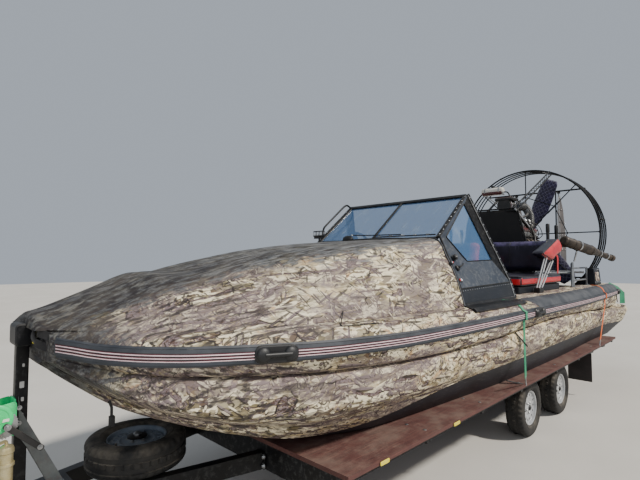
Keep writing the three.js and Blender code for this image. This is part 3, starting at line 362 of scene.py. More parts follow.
def camouflage():
    """Coated fabric. The top of the cover and the nose are painted dark grey as painted shade and painted sky
    reflection, darkest towards the bow. Long streaks of the print by the bow are darkened as painted shade.
    """
    def draw(net):
        where = net.place()
        printed = net.use(PRINT, Vector=where)
        x, y, z = (net.axis(where, name) for name in "XYZ")
        ahead = net.minus(x, 0.81)
        half = net.line(net.times(ahead, ahead), -0.068, 0.765)
        wide = net.times(net.step(x, 2.7, 3.6), 0.13)
        streak = net.noise(net.moved(where, (0.4, 15, 15)), 2.4, 7, 0.6)
        edge = net.minus(net.plus(half, wide), net.math("ABSOLUTE", y))
        ragged = net.plus(edge, net.times(net.minus(streak, 0.5), 0.5))
        # The top of the cover is painted grey, with dark and pale lengthwise streaks, as painted shade and
        # painted sky reflection.
        top = net.times(net.step(ragged, -0.05, 0.04), net.step(z, 1.5, 1.56))
        top = net.times(top, net.step(ahead, -0.02, 0.0))
        # Painted shade: the nose takes the same dark grey as the top.
        nose = net.step(net.plus(x, net.times(streak, 0.5)), 3.72, 3.92)
        top = net.math("MAXIMUM", top, nose)
        # Painted shade: the grey of the top grows darker towards the bow.
        bow = net.step(x, 1.6, 3.4)
        grey = net.ramp(streak, [(0.41, tone(20, 21, 24)), (0.49, tone(66, 70, 74)),
                                 (0.58, tone(118, 121, 123))])
        hair = net.noise(net.moved(where, (0.6, 26, 26)), 3.2, 3, 0.6)
        grey = net.blend(grey, net.step(hair, 0.5, 0.57), 0.55, tone(22, 23, 27))
        grey = net.blend(grey, net.step(hair, 0.42, 0.36), 0.4, tone(138, 141, 142))
        grey = net.blend(grey, bow, 0.62, tone(30, 31, 35))
        colour = net.blend(printed["Color"], top, 0.93, grey)
        # Painted shade: long streaks of the print darken towards the bow.
        bow_streak_shade = net.times(net.step(streak, 0.52, 0.4), net.step(x, 1.9, 3.1))
        colour = net.blend(colour, bow_streak_shade, 0.85, tone(38, 34, 36))
        threads = net.use(WEAVE, Threads=650)["Height"]
        colour = net.blend(colour, threads, 0.12, tone(70, 62, 54))
        dusty = net.use(DUST, Color=colour, Amount=0.08)
        folds = net.noise(net.moved(where, (0.5, 2.2, 2.2)), 7, 5, 0.6)
        return {"Base Color": dusty["Color"], "Roughness": net.line(folds, 0.3, 0.5),
                "Height": net.plus(folds, net.times(threads, 0.04)), "Depth": 0.009}
    return surface("camo_fabric", draw, Specular_IOR_Level=0.3)


def plywood():
    """Film faced board: red brown film with a fine press pattern, worn paler along the grain."""
    def draw(net):
        where = net.place()
        grain = net.noise(net.moved(where, (1.2, 16, 16)), 5, 8, 0.7)
        colour = net.ramp(grain, [(0.3, tone(62, 38, 37)), (0.52, tone(82, 50, 46)),
                                  (0.7, tone(100, 66, 58))])
        film = net.times(net.step(net.cells(where, 110), 0.5, 0.2), 0.2)
        colour = net.mix(film, colour, tone(52, 32, 30))
        stains = net.step(net.noise(where, 2.2, 6, 0.7), 0.5, 0.75)
        colour = net.blend(colour, stains, 0.3, tone(84, 66, 58))
        return {"Base Color": net.use(DUST, Color=colour, Amount=0.16)["Color"],
                "Roughness": net.line(grain, 0.6, 0.5),
                "Height": net.plus(grain, film), "Depth": 0.0016}
    return surface("plywood", draw)


def clear_sheet(name, sky_blue, alpha):
    """Acrylic pane: smeared, mostly clear, and glossy at a low angle. Its blue, paler in the smears, is
    painted sky reflection, and it grows more opaque at a low angle to show more of it.
    """
    def draw(net):
        smear = net.noise(net.place((1, 2.5, 1)), 5, 5, 0.6)
        gloss = net.add("LayerWeight", {"Blend": 0.35}, "Fresnel")
        shade = net.mix(net.step(smear, 0.5, 0.85), sky_blue, tone(150, 172, 196))
        return {"Base Color": shade, "Roughness": net.times(smear, 0.12),
                "Alpha": net.plus(alpha, net.times(gloss, 0.5)),
                "Height": smear, "Depth": 0.0006}
    return surface(name, draw, Specular_IOR_Level=0.9, Coat_Weight=0.5, Coat_Roughness=0.03)


def quilting():
    """Sleeve fabric with pale stitch lines in diamonds, drawn along the sleeve's own length and girth."""
    def draw(net):
        where = net.place(source="UV")
        lines = []
        for sign in (1, -1):
            slope = net.plus(net.axis(where, "X"), net.times(net.axis(where, "Y"), sign))
            saw = net.math("FRACT", net.plus(net.times(slope, 13), 100))
            lines.append(net.math("ABSOLUTE", net.minus(saw, 0.5)))
        seam = net.math("MAXIMUM", lines[0], lines[1])
        fade = net.noise(net.place(), 8, 5, 0.65)
        colour = net.mix(net.step(fade, 0.35, 0.7), tone(26, 22, 50), tone(46, 38, 78))
        colour = net.blend(colour, net.step(seam, 0.45, 0.485), 0.5, tone(150, 146, 180))
        folds = net.noise(net.moved(where, (9, 40, 1)), 3, 4)
        dusty = net.use(DUST, Color=colour, Amount=0.1)
        return {"Base Color": dusty["Color"], "Height": net.plus(net.step(seam, 0.5, 0.3), folds),
                "Depth": 0.006}
    return surface("quilted_sleeve", draw, Roughness=0.8, Sheen_Weight=0.35)


CAMO = camouflage()
PLYWOOD = plywood()
QUILT = quilting()
# Painted reflection: the blue of the panes stands for sky seen through them and reflected in them.
PANE = clear_sheet("clear_pane", tone(92, 132, 178), 0.16)
BARE = tone(146, 146, 144)
RUST = tone(118, 74, 50)
ARMOUR = coat("hull_rubber", (22, 23, 29), (38, 39, 46), 0.6, blotch=3, dust=0.08, scratches=0.12)
TAPE = coat("grey_tape", (40, 44, 51), (60, 65, 73), 0.6, blotch=5, grain=(500, 0.0004), dust=0.07)
RAIL = coat("rail_rubber", (26, 22, 24), (42, 34, 36), 0.5, blotch=7, dust=0.12)
RAIL_WHITE = coat("rail_white", (240, 216, 220), (216, 184, 192), 0.45, blotch=14, dust=0.06)
RAIL_RED = coat("rail_red", (92, 18, 40), (64, 12, 28), 0.45, blotch=14, dust=0.05)
BLACK = coat("black_paint", (13, 14, 16), (24, 25, 28), 0.4, blotch=9, dust=0.04, wear=(BARE, 0.1),
             Specular_IOR_Level=0.2)
PANEL = coat("grey_panel", (42, 49, 59), (55, 63, 76), 0.45, blotch=2, dust=0.04, scratches=0.06,
             wear=(BARE, 0.2), grain=(600, 0.0002), Specular_IOR_Level=0.3)
DARK_PANEL = coat("dark_panel", (19, 24, 31), (27, 33, 42), 0.5, blotch=3, dust=0.04, scratches=0.06,
                  grain=(600, 0.0002), Specular_IOR_Level=0.3)
PLASTIC = coat("black_plastic", (15, 16, 18), (26, 27, 30), 0.48, blotch=6, dust=0.05,
               grain=(700, 0.0003))
VINYL = coat("upholstery", (20, 19, 30), (34, 32, 50), 0.36, blotch=5, dust=0.05, grain=(260, 0.0005),
             Coat_Weight=0.2)
# Painted highlight: lighter purple vinyl for the top of the bench back and its wrinkles.
HIGHLIGHT_VINYL = coat("highlight_vinyl", (34, 30, 54), (84, 74, 116), 0.32, blotch=13, dust=0.04,
                   grain=(260, 0.0005))
RED_VINYL = coat("red_vinyl", (172, 14, 28), (204, 32, 42), 0.42, blotch=7, dust=0.03,
                 grain=(260, 0.0005), Coat_Weight=0.2)
STEEL = coat("bare_steel", (150, 151, 152), (182, 184, 186), 0.36, blotch=12, dust=0.12,
             grain=(900, 0.00015), Metallic=0.9)
ALLOY = coat("engine_alloy", (104, 105, 106), (140, 141, 140), 0.46, blotch=14, dust=0.15,
             grain=(240, 0.0005), Metallic=0.75)
ENGINE_BLACK = coat("engine_black", (20, 20, 22), (36, 35, 37), 0.5, blotch=10, dust=0.15)
MAROON = coat("engine_red", (62, 14, 18), (90, 24, 28), 0.38, blotch=9, dust=0.12, Coat_Weight=0.3)
WHITE = coat("white_plastic", (224, 222, 214), (204, 200, 190), 0.35, blotch=6, dust=0.15)
SILENCER = coat("silencer_steel", (38, 35, 35), (82, 72, 62), 0.48, blotch=10, dust=0.04,
                wear=(RUST, 0.2), Metallic=0.4)
GREY_PAINT = coat("grey_paint", (150, 154, 158), (176, 180, 184), 0.42, blotch=8, wear=(RUST, 0.3),
                  dust=0.1)
FIN = coat("rudder_skin", (62, 58, 58), (86, 79, 76), 0.5, blotch=5, dust=0.12, scratches=0.2)
RUBBER = coat("tyre_rubber", (24, 24, 25), (38, 37, 36), 0.8, blotch=10, dust=0.3, grain=(300, 0.0005))
SILVER = coat("rim_silver", (186, 188, 190), (208, 210, 212), 0.36, blotch=10, dust=0.15,
              wear=(RUST, 0.3), Metallic=0.5)
BLUE_GREY = coat("spare_rim", (96, 106, 120), (122, 132, 144), 0.42, blotch=10, dust=0.15)
BRACE = coat("brace_steel", (92, 96, 98), (118, 122, 120), 0.5, blotch=9, dust=0.08, wear=(RUST, 0.3))
GREEN = coat("winch_green", (10, 196, 106), (26, 220, 130), 0.38, blotch=9, dust=0.08, wear=(BARE, 0.4),
             Coat_Weight=0.3)
GREEN_WEB = coat("green_webbing", (38, 128, 92), (58, 152, 112), 0.75, blotch=10, dust=0.1, threads=500)
ORANGE_WEB = coat("orange_webbing", (206, 92, 40), (228, 118, 62), 0.75, blotch=10, dust=0.1,
                  threads=500)
BLACK_WEB = coat("black_webbing", (20, 20, 22), (34, 34, 37), 0.8, blotch=10, dust=0.1, threads=500)
ZINC = coat("zinc_plate", (176, 160, 112), (196, 186, 150), 0.4, blotch=18, dust=0.12, Metallic=0.7)
YELLOW = coat("yellow_marker", (216, 196, 40), (230, 214, 80), 0.45, blotch=12, dust=0.1)
RED_LENS = coat("red_lens", (150, 20, 24), (186, 34, 36), 0.15, blotch=14, dust=0.1, Coat_Weight=0.6)
AMBER = coat("amber_lens", (214, 120, 26), (232, 146, 48), 0.15, blotch=14, dust=0.1, Coat_Weight=0.6)
MESH_CLOTH = coat("mesh_cloth", (12, 12, 14), (22, 22, 25), 0.8, blotch=5, dust=0.08, threads=300)
# Painted shade: dark cloth for the forward face of the gathered nose.
SHADED_NOSE_CLOTH = coat("shaded_nose_cloth", (36, 36, 39), (74, 74, 74), 0.7, blotch=9, dust=0.06, threads=500)
BAY_PAINT = coat("bay_paint", (84, 90, 96), (112, 117, 122), 0.45, blotch=8, dust=0.06, wear=(RUST, 0.2))
LENS = coat("lamp_glass", (196, 204, 212), (226, 232, 238), 0.08, blotch=20, dust=0.05, Coat_Weight=0.8)

SLOT_FINISH = {"hull_rubber": ARMOUR, "camo_fabric": CAMO, "rail_rubber": RAIL, "black_paint": BLACK,
               "grey_panel": PANEL, "clear_pane": PANE, "black_plastic": PLASTIC, "upholstery": VINYL,
               "bare_steel": STEEL, "engine_alloy": ALLOY, "white_plastic": WHITE, "quilted_sleeve": QUILT,
               "plywood": PLYWOOD, "tyre_rubber": RUBBER, "rim_silver": SILVER, "winch_green": GREEN}


# Curves
def curve(points, steps):
    """Smooth line through the points, with steps pieces between each two."""
    points = [Vector(p) for p in points]
    line = []
    for i in range(len(points) - 1):
        a, b = points[i], points[i + 1]
        before = points[i - 1] if i else a * 2 - b
        after = points[i + 2] if i + 2 < len(points) else b * 2 - a
        for k in range(steps):
            t = k / steps
            line.append(0.5 * (2 * a + (b - before) * t + (2 * before - 5 * a + 4 * b - after) * t ** 2
                               + (3 * a - before - 3 * b + after) * t ** 3))
    return line + [points[-1]]


def eased(rows, d):
    """The row at distance d on smooth curves through the rows that never overshoot them."""
    i = max(k for k in range(len(rows) - 1) if rows[k][0] <= d or k == 0)
    a, b = rows[i], rows[i + 1]
    width = b[0] - a[0]
    t = (d - a[0]) / width

    def rate(k, column):
        return (rows[k + 1][column] - rows[k][column]) / (rows[k + 1][0] - rows[k][0])

    def slope(k, column):
        if k == 0 or k == len(rows) - 1:
            return rate(min(k, len(rows) - 2), column)
        left, right = rate(k - 1, column), rate(k, column)
        return 2 * left * right / (left + right) if left * right > 0 else 0
    return [a[c] * (1 + 2 * t) * (1 - t) ** 2 + b[c] * t * t * (3 - 2 * t)
            + width * (slope(i, c) * t * (1 - t) ** 2 - slope(i + 1, c) * t * t * (1 - t))
            for c in range(1, len(a))]


def rounded(outline, radius, steps=4):
    """The outline with each corner as a short curve."""
    ring = []
    for i, corner in enumerate(outline):
        corner = Vector(corner)
        ends = [Vector(outline[i - 1]), Vector(outline[(i + 1) % len(outline)])]
        a, b = [corner + (p - corner).normalized() * min(radius, 0.45 * (p - corner).length) for p in ends]
        for k in range(steps + 1):
            t = k / steps
            ring.append(a * (1 - t) ** 2 + corner * 2 * t * (1 - t) + b * t * t)
    return ring


def ring_normal(ring):
    total = Vector((0, 0, 0))
    for a, b in zip(ring, ring[1:] + ring[:1]):
        total += a.cross(b)
    return total.normalized()


def shrunk(ring, amount):
    """The ring moved inwards in its own plane."""
    normal = ring_normal(ring)
    moved = []
    for i, p in enumerate(ring):
        before = normal.cross((p - ring[i - 1]).normalized())
        after = normal.cross((ring[(i + 1) % len(ring)] - p).normalized())
        inward = before + after
        moved.append(p + inward * (amount * 2 / max(inward.length_squared, 0.6)))
    return moved


def around(count, radius, start=0.0):
    """Pairs of coordinates of points spread evenly round a circle."""
    angles = [start + 2 * math.pi * k / count for k in range(count)]
    return [(radius * math.cos(angle), radius * math.sin(angle)) for angle in angles]


def collar(inner, outer, low, high):
    """Profile of a plain ring, or of a cylinder where inner is 0."""
    return [(inner, low), (outer, low), (outer, high), (inner, high)]


def frame_at(place, *axes):
    """Matrix that carries what is given along three axes to a place."""
    turn = Matrix([Vector(axis).normalized() for axis in axes]).transposed().to_4x4() if axes else Matrix()
    return Matrix.Translation(place) @ turn


def axes_of(direction):
    """Two directions across the given one."""
    along = Vector(direction).normalized()
    side = Vector((0, 0, 1)) if abs(along.z) < 0.9 else Vector((1, 0, 0))
    across = side.cross(along).normalized()
    return across, along.cross(across)


WELD = 1e-5


class Shape:
    """Gathers the faces of one piece. Each part of it may have its own finish, by number."""

    def __init__(self):
        self.points = []
        self.faces = []
        self.paints = []
        self.uvs = []
        self.base = Matrix.Identity(4)

    def add(self, points, faces, paint=0, uvs=None):
        start = len(self.points)
        self.points += [self.base @ Vector(p) for p in points]
        self.faces += [[start + i for i in face] for face in faces]
        self.paints += paint if isinstance(paint, list) else [paint] * len(faces)
        self.uvs += uvs or [[(0, 0)] * len(face) for face in faces]
        return self

    def loft(self, rings, paint=0, caps=True, closed=True):
        """A skin through rings of points. paint may be a list with one finish for each strip."""
        count = len(rings[0])
        strips = count if closed else count - 1
        along = [0.0]
        for a, b in zip(rings, rings[1:]):
            along.append(along[-1] + (Vector(b[0]) - Vector(a[0])).length)
        girth = [0.0]
        middle = rings[len(rings) // 2]
        for j in range(count):
            girth.append(girth[-1] + (Vector(middle[(j + 1) % count]) - Vector(middle[j])).length)
        faces, paints, uvs = [], [], []
        for i in range(len(rings) - 1):
            for j in range(strips):
                a, b = i * count + j, i * count + (j + 1) % count
                faces.append([a, b, b + count, a + count])
                paints.append(paint[j] if isinstance(paint, list) else paint)
                uvs.append([(along[i], girth[j]), (along[i], girth[j + 1]),
                            (along[i + 1], girth[j + 1]), (along[i + 1], girth[j])])
        if caps and closed:
            last = (len(rings) - 1) * count
            for face in (list(range(count))[::-1], [last + j for j in range(count)]):
                faces.append(face)
                paints.append(paint[0] if isinstance(paint, list) else paint)
                uvs.append([(0, 0)] * count)
        return self.add([p for ring in rings for p in ring], faces, paints, uvs)

    def panel(self, outline, depth, corner=0.0, edge=0.0015, paint=0):
        """A flat outline in space, thickened, with softened corners and edges."""
        ring = rounded(outline, corner) if corner else [Vector(p) for p in outline]
        depth = Vector(depth)
        if ring_normal(ring).dot(depth) < 0:
            ring.reverse()
        lift = depth.normalized() * edge
        inner = shrunk(ring, edge)
        return self.loft([inner, [p + lift for p in ring], [p + depth - lift for p in ring],
                          [p + depth for p in inner]], paint)

    def block(self, low, high, axis=2, corner=0.004, edge=0.0015, paint=0):
        """A box with rounded corners about one axis."""
        u, v = [k for k in range(3) if k != axis]
        outline = []
        for a, b in ((0, 0), (1, 0), (1, 1), (0, 1)):
            p = list(low)
            p[u] = (low[u], high[u])[a]
            p[v] = (low[v], high[v])[b]
            outline.append(p)
        depth = [0, 0, 0]
        depth[axis] = high[axis] - low[axis]
        return self.panel(outline, depth, corner, edge, paint)

    def tube(self, points, radius, sides=12, bend=0.0, paint=0, shape=None):
        """A round bar along a line, with its bends rounded. shape(part) scales the radius along it."""
        line = [Vector(p) for p in points]
        if bend and len(line) > 2:
            inner = []
            for a, p, b in zip(line, line[1:], line[2:]):
                cuts = [p + (q - p).normalized() * min(bend, 0.45 * (q - p).length) for q in (a, b)]
                inner += [cuts[0] * (1 - t) ** 2 + p * 2 * t * (1 - t) + cuts[1] * t * t
                          for t in (0, 0.25, 0.5, 0.75, 1)]
            line = [line[0], *inner, line[-1]]
        steps = [(b - a).normalized() for a, b in zip(line, line[1:])]
        across = axes_of(steps[0])[0]
        rings = []
        for i, p in enumerate(line):
            along = (steps[max(i - 1, 0)] + steps[min(i, len(steps) - 1)]).normalized()
            across = (across - along * across.dot(along)).normalized()
            up = along.cross(across)
            size = radius * (shape(i / (len(line) - 1)) if shape else 1)
            rings.append([p + (across * math.cos(angle) + up * math.sin(angle)) * size
                          for angle in (2 * math.pi * (k + 0.5) / sides for k in range(sides))])
        return self.loft(rings, paint)

    def turned(self, profile, centre, axis=(0, 0, 1), sides=32, paint=0, loop=False):
        """A turned body: profile is (radius, height along the axis)."""
        across, up = axes_of(axis)
        along = Vector(axis).normalized()
        rings = []
        for a, b in around(sides, 1):
            out = across * a + up * b
            rings.append([Vector(centre) + out * radius + along * height for radius, height in profile])
        count = len(profile)
        strips = count if loop else count - 1
        faces = []
        paints = []
        for i in range(sides):
            for j in range(strips):
                a, b = i * count + j, ((i + 1) % sides) * count + j
                c, d = i * count + (j + 1) % count, ((i + 1) % sides) * count + (j + 1) % count
                faces.append([a, b, d, c])
                paints.append(paint[j] if isinstance(paint, list) else paint)
        return self.add([p for ring in rings for p in ring], faces, paints)

    def hoop(self, centre, axis, radius, thick, sides=10, segments=72, paint=0):
        profile = [(radius + across, along) for across, along in around(sides, thick)]
        return self.turned(profile, centre, axis, segments, paint, loop=True)

    def ball(self, centre, radius, stretch=(1, 1, 1), sides=20, paint=0):
        profile = [(radius * math.sin(math.pi * k / 10), -radius * math.cos(math.pi * k / 10))
                   for k in range(11)]
        keep, self.base = self.base, self.base @ Matrix.Translation(centre) @ Matrix.Diagonal((*stretch, 1))
        self.turned(profile, (0, 0, 0), (0, 0, 1), sides, paint)
        self.base = keep
        return self

    def stud(self, centre, normal, radius, height, paint=0, sides=14):
        """A low dome, such as a snap, rivet or screw head."""
        return self.turned([(0, -0.001), (radius, -0.001), (radius, height * 0.4),
                            (radius * 0.72, height * 0.85), (0, height)], centre, normal, sides, paint)

    def bolt(self, centre, normal, radius, paint=0):
        """A washer with a six sided head and a short thread end on it."""
        self.turned([(0, 0), (radius * 1.5, 0), (radius * 1.5, radius * 0.25), (0, radius * 0.25)], centre,
                    normal, 18, paint)
        head = [(0, 0), (radius, 0), (radius, radius * 0.85), (radius * 0.85, radius),
                (radius * 0.5, radius)]
        return self.turned([*head, (radius * 0.5, radius * 1.3), (0, radius * 1.35)], centre, normal, 6,
                           paint)

    def strap(self, points, normals, width, thick, paint=0):
        """Flat webbing along a line; each point has the direction that its face looks in."""
        rings = []
        for i, (p, normal) in enumerate(zip(points, normals)):
            along = (points[min(i + 1, len(points) - 1)] - points[max(i - 1, 0)]).normalized()
            across = normal.cross(along).normalized() * width / 2
            up = along.cross(across).normalized() * thick / 2
            rings.append([p - across - up, p + across - up, p + across + up, p - across + up])
        return self.loft(rings, paint)

    def mirrored(self):
        """The same piece for the other side of the boat."""
        other = Shape()
        other.points = [Vector((p.x, -p.y, p.z)) for p in self.points]
        other.faces = [face[::-1] for face in self.faces]
        other.uvs = [corners[::-1] for corners in self.uvs]
        other.paints = list(self.paints)
        return other

    def block_at(self, centre, half, paint=0):
        low = [c - h for c, h in zip(centre, half)]
        high = [c + h for c, h in zip(centre, half)]
        return self.block(low, high, corner=min(half) * 0.5, edge=min(half) * 0.2, paint=paint)

    def set_frame(self, place, *axes):
        """What comes next is given along three axes from a place."""
        self.base = frame_at(place, *axes)

    def done(self, name, finishes, body=CRAFT, stands_for=(), slot=None, angle=35):
        """Makes the object, smooths it up to the given angle and lets it ride on its body."""
        mesh = bpy.data.meshes.new(name)
        mesh.from_pydata(self.points, [], self.faces)
        flat = [value for corners in self.uvs for corner in corners for value in corner]
        mesh.uv_layers.new(name="UVMap").data.foreach_set("uv", flat)
        for finish in finishes:
            mesh.materials.append(finish)
        mesh.polygons.foreach_set("material_index", self.paints)
        weld(mesh)
        mesh.shade_smooth()
        mesh.set_sharp_from_angle(angle=math.radians(angle))
        piece = placed(name, mesh)
        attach(piece, body)
        if stands_for:
            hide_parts(*stands_for)
        return piece


def weld(mesh):
    """Welds the poles of turned parts and turns every face outwards."""
    loose = bmesh.new()
    loose.from_mesh(mesh)
    bmesh.ops.remove_doubles(loose, verts=loose.verts, dist=WELD)
    bmesh.ops.recalc_face_normals(loose, faces=loose.faces)
    loose.to_mesh(mesh)
    loose.free()


def both_sides(shape, name, finishes, body=None, stands_for=(), **options):
    """Makes the port piece and its mirror copy. The side ends their names, and that of a moving body."""
    for (side, _), part in zip(SIDES, (shape, shape.mirrored())):
        carrier = f"{body}_{side}" if body else CRAFT
        nodes = [f"{node}_{side}" for node in stands_for]
        part.done(f"{name}_{side}", finishes, carrier, nodes, **options)


def subdivide(piece):
    finer = piece.modifiers.new("finer", "SUBSURF")
    finer.levels = 1
    finer.render_levels = 1


def thicken(cloth, thickness):
    cloth.modifiers.new("cloth", "SOLIDIFY").thickness = thickness


# Hull rows: distance aft, beam, rail, top, seam height and half width, keel height and half width, inner wall
HULL = [
    (0, 0.330, 1.450, 1.525, 1.366, 0.190, 1.340, 0.130, 0.0003),
    (0.06, 0.420, 1.440, 1.525, 1.318, 0.240, 1.284, 0.175, 0.0003),
    (0.15, 0.560, 1.424, 1.525, 1.252, 0.315, 1.212, 0.245, 0.0003),
    (0.30, 0.745, 1.415, 1.522, 1.146, 0.420, 1.102, 0.335, 0.0003),
    (0.49, 0.897, 1.409, 1.518, 1.058, 0.538, 1.010, 0.443, 0.0003),
    (0.86, 1.035, 1.394, 1.512, 0.945, 0.715, 0.872, 0.600, 0.25),
    (1.29, 1.120, 1.375, 1.506, 0.880, 0.880, 0.762, 0.730, 0.52),
    (1.96, 1.200, 1.362, 1.500, 0.893, 1.030, 0.698, 0.860, 0.72),
    (2.90, 1.240, 1.360, 1.498, 0.910, 1.098, 0.6903, 0.945, 0.78),
    (3.90, 1.255, 1.365, 1.498, 0.910, 1.125, 0.6903, 1.015, 0.78),
    (5.50, 1.250, 1.365, 1.498, 0.910, 1.125, 0.6903, 1.035, 0.78),
    (7.03, 1.200, 1.365, 1.498, 0.905, 1.110, 0.6903, 1.010, 0.78),
    (7.90, 1.150, 1.365, 1.498, 0.890, 1.150, 0.6903, 1.020, 0.78),
    (8.25, 1.115, 1.365, 1.492, 0.880, 1.165, 0.720, 0.985, 0.785),
    (8.40, 1.075, 1.365, 1.476, 0.905, 1.150, 0.790, 0.945, 0.80),
    (8.46, 1.020, 1.365, 1.453, 0.960, 1.110, 0.870, 0.900, 0.82),
]
RAIL_HALF = 0.038
HULL_END = 8.46


def stations(start, end, gap):
    count = max(1, round((end - start) / gap))
    return [start + (end - start) * k / count for k in range(count + 1)]


def tube_outline(d):
    """Port tube as two lines of (y, z): up to the rail, and from it over the top to the inner wall."""
    beam, rail, top, seam, seam_half, _, _, inner = eased(HULL, d)
    low = rail - RAIL_HALF - seam
    k = low / 0.417
    drop = 0.2 * min(max((d - 6.2) / 1.9, 0), 1)
    crease = (beam - 0.098 * k, seam + (0.72 - drop + 0.05 * math.sin(d * 1.5 + 0.6)) * low)
    bulge = max(beam, seam_half + 0.115)
    belly = curve([(seam_half, seam + 0.0003), (bulge - 0.072 * k, seam + 0.2 * low),
                   (bulge - 0.046 * k, seam + 0.42 * low),
                   ((bulge + beam) / 2 - 0.054 * k, crease[1] - 0.07 * low), crease], 5)
    chest = curve([crease, (beam - 0.05 * k, crease[1] + 0.05 * low),
                   (beam - 0.024 * k, crease[1] + 0.14 * low), (beam, rail - RAIL_HALF)], 4)
    edge = rail + RAIL_HALF
    high = top - edge
    top_half = beam - 0.14 * min(1, beam / 0.9)
    over = curve([(beam, edge), (beam - 0.03, edge + 0.5 * high), (beam - 0.07, edge + 0.82 * high),
                  (top_half, top)], 4)
    deck = [Vector((top_half + (inner - top_half) * k, top)) for k in (0.1, 0.4, 0.7, 1)]
    return belly + chest[1:], over + deck


def walk(line, distance):
    """The point that lies a distance along a line."""
    for a, b in zip(line, line[1:]):
        length = (b - a).length
        if distance <= length:
            return a.lerp(b, distance / length)
        distance -= length
    return line[-1]


def skin(d, climb, lift=0.0):
    """A point on the port tube: climb metres above the rail, or below it where climb is less than 0."""
    def at(d, climb):
        side, over = tube_outline(min(max(d, 0), HULL_END))
        y, z = walk(over, climb) if climb >= 0 else walk(side[::-1], -climb)
        return Vector((aft(d), y, z))
    nudge = 0.004
    across = at(d, climb + nudge if climb >= 0 else climb) - at(d, climb if climb >= 0 else climb - nudge)
    normal = across.cross(at(min(d + nudge, HULL_END), climb) - at(d - nudge, climb)).normalized()
    if normal.y + normal.z < 0:
        normal.negate()
    return at(d, climb) + normal * lift, normal


def side_tubes():
    shape = Shape()
    rings = []
    for d in stations(0, 0.5, 0.025) + stations(0.56, 8.1, 0.075) + stations(8.14, HULL_END, 0.02):
        side, over = tube_outline(d)
        seam = side[0].y
        inner = over[-1].x
        ring = []
        for k, (y, z) in enumerate(side + over + [Vector((inner, seam))]):
            inside = k >= len(side + over)
            pucker = noise(Vector((d * 9, z * 5, 3))) * 0.003 + noise(Vector((d * 2.2, z * 3, 8))) * 0.004
            fold = 0.0 if inside or y < inner + 0.01 or d < 0.05 else pucker
            near_rail = abs(z - side[-1].y - RAIL_HALF) < RAIL_HALF + 0.05
            ring.append((aft(d), y + (0 if near_rail else fold), z))
        rings.append(ring)
    shape.loft(rings)
    both_sides(shape, "camo_tube", [CAMO], stands_for=["side_tube"], slot="camo_fabric", angle=32)


def hull_bottom():
    shape = Shape()
    rings = []
    for d in stations(0, HULL_END, 0.09):
        _, _, _, seam, seam_half, keel, flat_half, _ = eased(HULL, d)
        foot = (seam_half * 0.45 + flat_half * 0.55 + 0.012, seam * 0.45 + keel * 0.55)
        half = curve([(seam_half, seam), foot, (flat_half, keel)], 4)
        ring = [(aft(d), y, z) for y, z in half]
        rings.append(ring + [(x, -y, z) for x, y, z in ring[::-1]])
    shape.loft(rings)
    shape.done("hull_armour", [ARMOUR], stands_for=["hull_bottom"], slot="hull_rubber", angle=50)
    skirt = Shape()
    rings = []
    for d in stations(0, 2.7, 0.06):
        _, _, _, seam, seam_half, keel, flat_half, _ = eased(HULL, d)
        share = 1.02 if d < 1.25 else 1.02 * (1 - (d - 1.25) / 1.46) ** 1.6
        foot = (seam_half * 0.45 + flat_half * 0.55 + 0.012, seam * 0.45 + keel * 0.55)
        half = curve([(seam_half, seam), foot, (flat_half, keel), (flat_half - 0.03, keel - 0.004)], 8)
        reach = [Vector((aft(d), *half[0][:2]))]
        for k in range(1, 9):
            place = min(share, 1.0) * 16 * k / 8
            step, part = int(place), place - int(place)
            p = half[step].lerp(half[min(step + 1, len(half) - 1)], part)
            reach.append(Vector((aft(d), p[0], p[1])))
        out = Vector((0.25, 1, -1)).normalized() * 0.004
        rings.append([p + out for p in reach] + [p - out for p in reach[::-1]])
    skirt.loft(rings)
    both_sides(skirt, "camo_skirt", [CAMO], slot="camo_fabric")


def band(shape, span, low, high, thick, across):
    """A strip of material glued on the port tube between two heights of climb."""
    rings = []
    for d in stations(*span, 0.06):
        line = [skin(d, low + (high - low) * k / across, thick)[0] for k in range(across + 1)]
        rings.append([skin(d, low, -0.002)[0], *line, skin(d, high, -0.002)[0]])
    shape.loft(rings)


def rail_tapes():
    shape = Shape()
    band(shape, (0.02, 8.27), 0.0, 0.014, 0.003, across=2)
    band(shape, (0.02, 8.27), -0.012, -0.0005, 0.003, across=2)
    band(shape, (4.12, 8.24), 0.012, 0.168, 0.0028, across=8)
    rings = []
    for k in range(9):
        low = 0.168 - 0.0195 * k
        line = [skin(3.84 + 0.035 * k, low + (0.168 - low) * j / 4, 0.0028)[0] for j in range(5)]
        rings.append([line[0] - Vector((0, 0.004, 0.003)), *line, line[-1] - Vector((0, 0.0, 0.004))])
    shape.loft(rings)
    both_sides(shape, "rail_tape", [TAPE], slot="hull_rubber")


RAIL_OUT = 0.022
RAIL_STRIPES = [(-0.038, 3), (-0.021, 3), (-0.0165, 1), (-0.0125, 2), (-0.0065, 0), (-0.0015, 1),
                (0.0025, 2), (0.0085, 0), (0.0135, 1), (0.0175, 2), (0.0215, 0), (0.038, 3)]


def rail_rings(start, end):
    """Rings of the rubbing strip: its foot on the tube, then up its striped face."""
    rings = []
    for d in stations(start, end, 0.05):
        beam, rail = eased(HULL, d)[:2]
        ring = [(aft(d), beam + 0.0004, rail - RAIL_HALF)]
        for up, _ in RAIL_STRIPES:
            swell = RAIL_OUT * (0.72 + 0.28 * math.cos(up / RAIL_HALF * math.pi / 2))
            ring.append((aft(d), beam + swell, rail + up))
        ring.append((aft(d), beam + 0.0004, rail + RAIL_HALF))
        rings.append(ring)
    return rings


def rub_rails():
    striped = Shape()
    stripes = [3] + [paint for _, paint in RAIL_STRIPES[1:]] + [3, 3]
    striped.loft(rail_rings(0.012, 8.28), stripes)
    both_sides(striped, "rub_rail", [RAIL, RAIL_WHITE, RAIL_RED, TAPE], stands_for=["rub_rail"],
               slot="rail_rubber")


CLEATS = [(0.86, 0.125), (4.04, 0.13), (8.13, 0.10)]


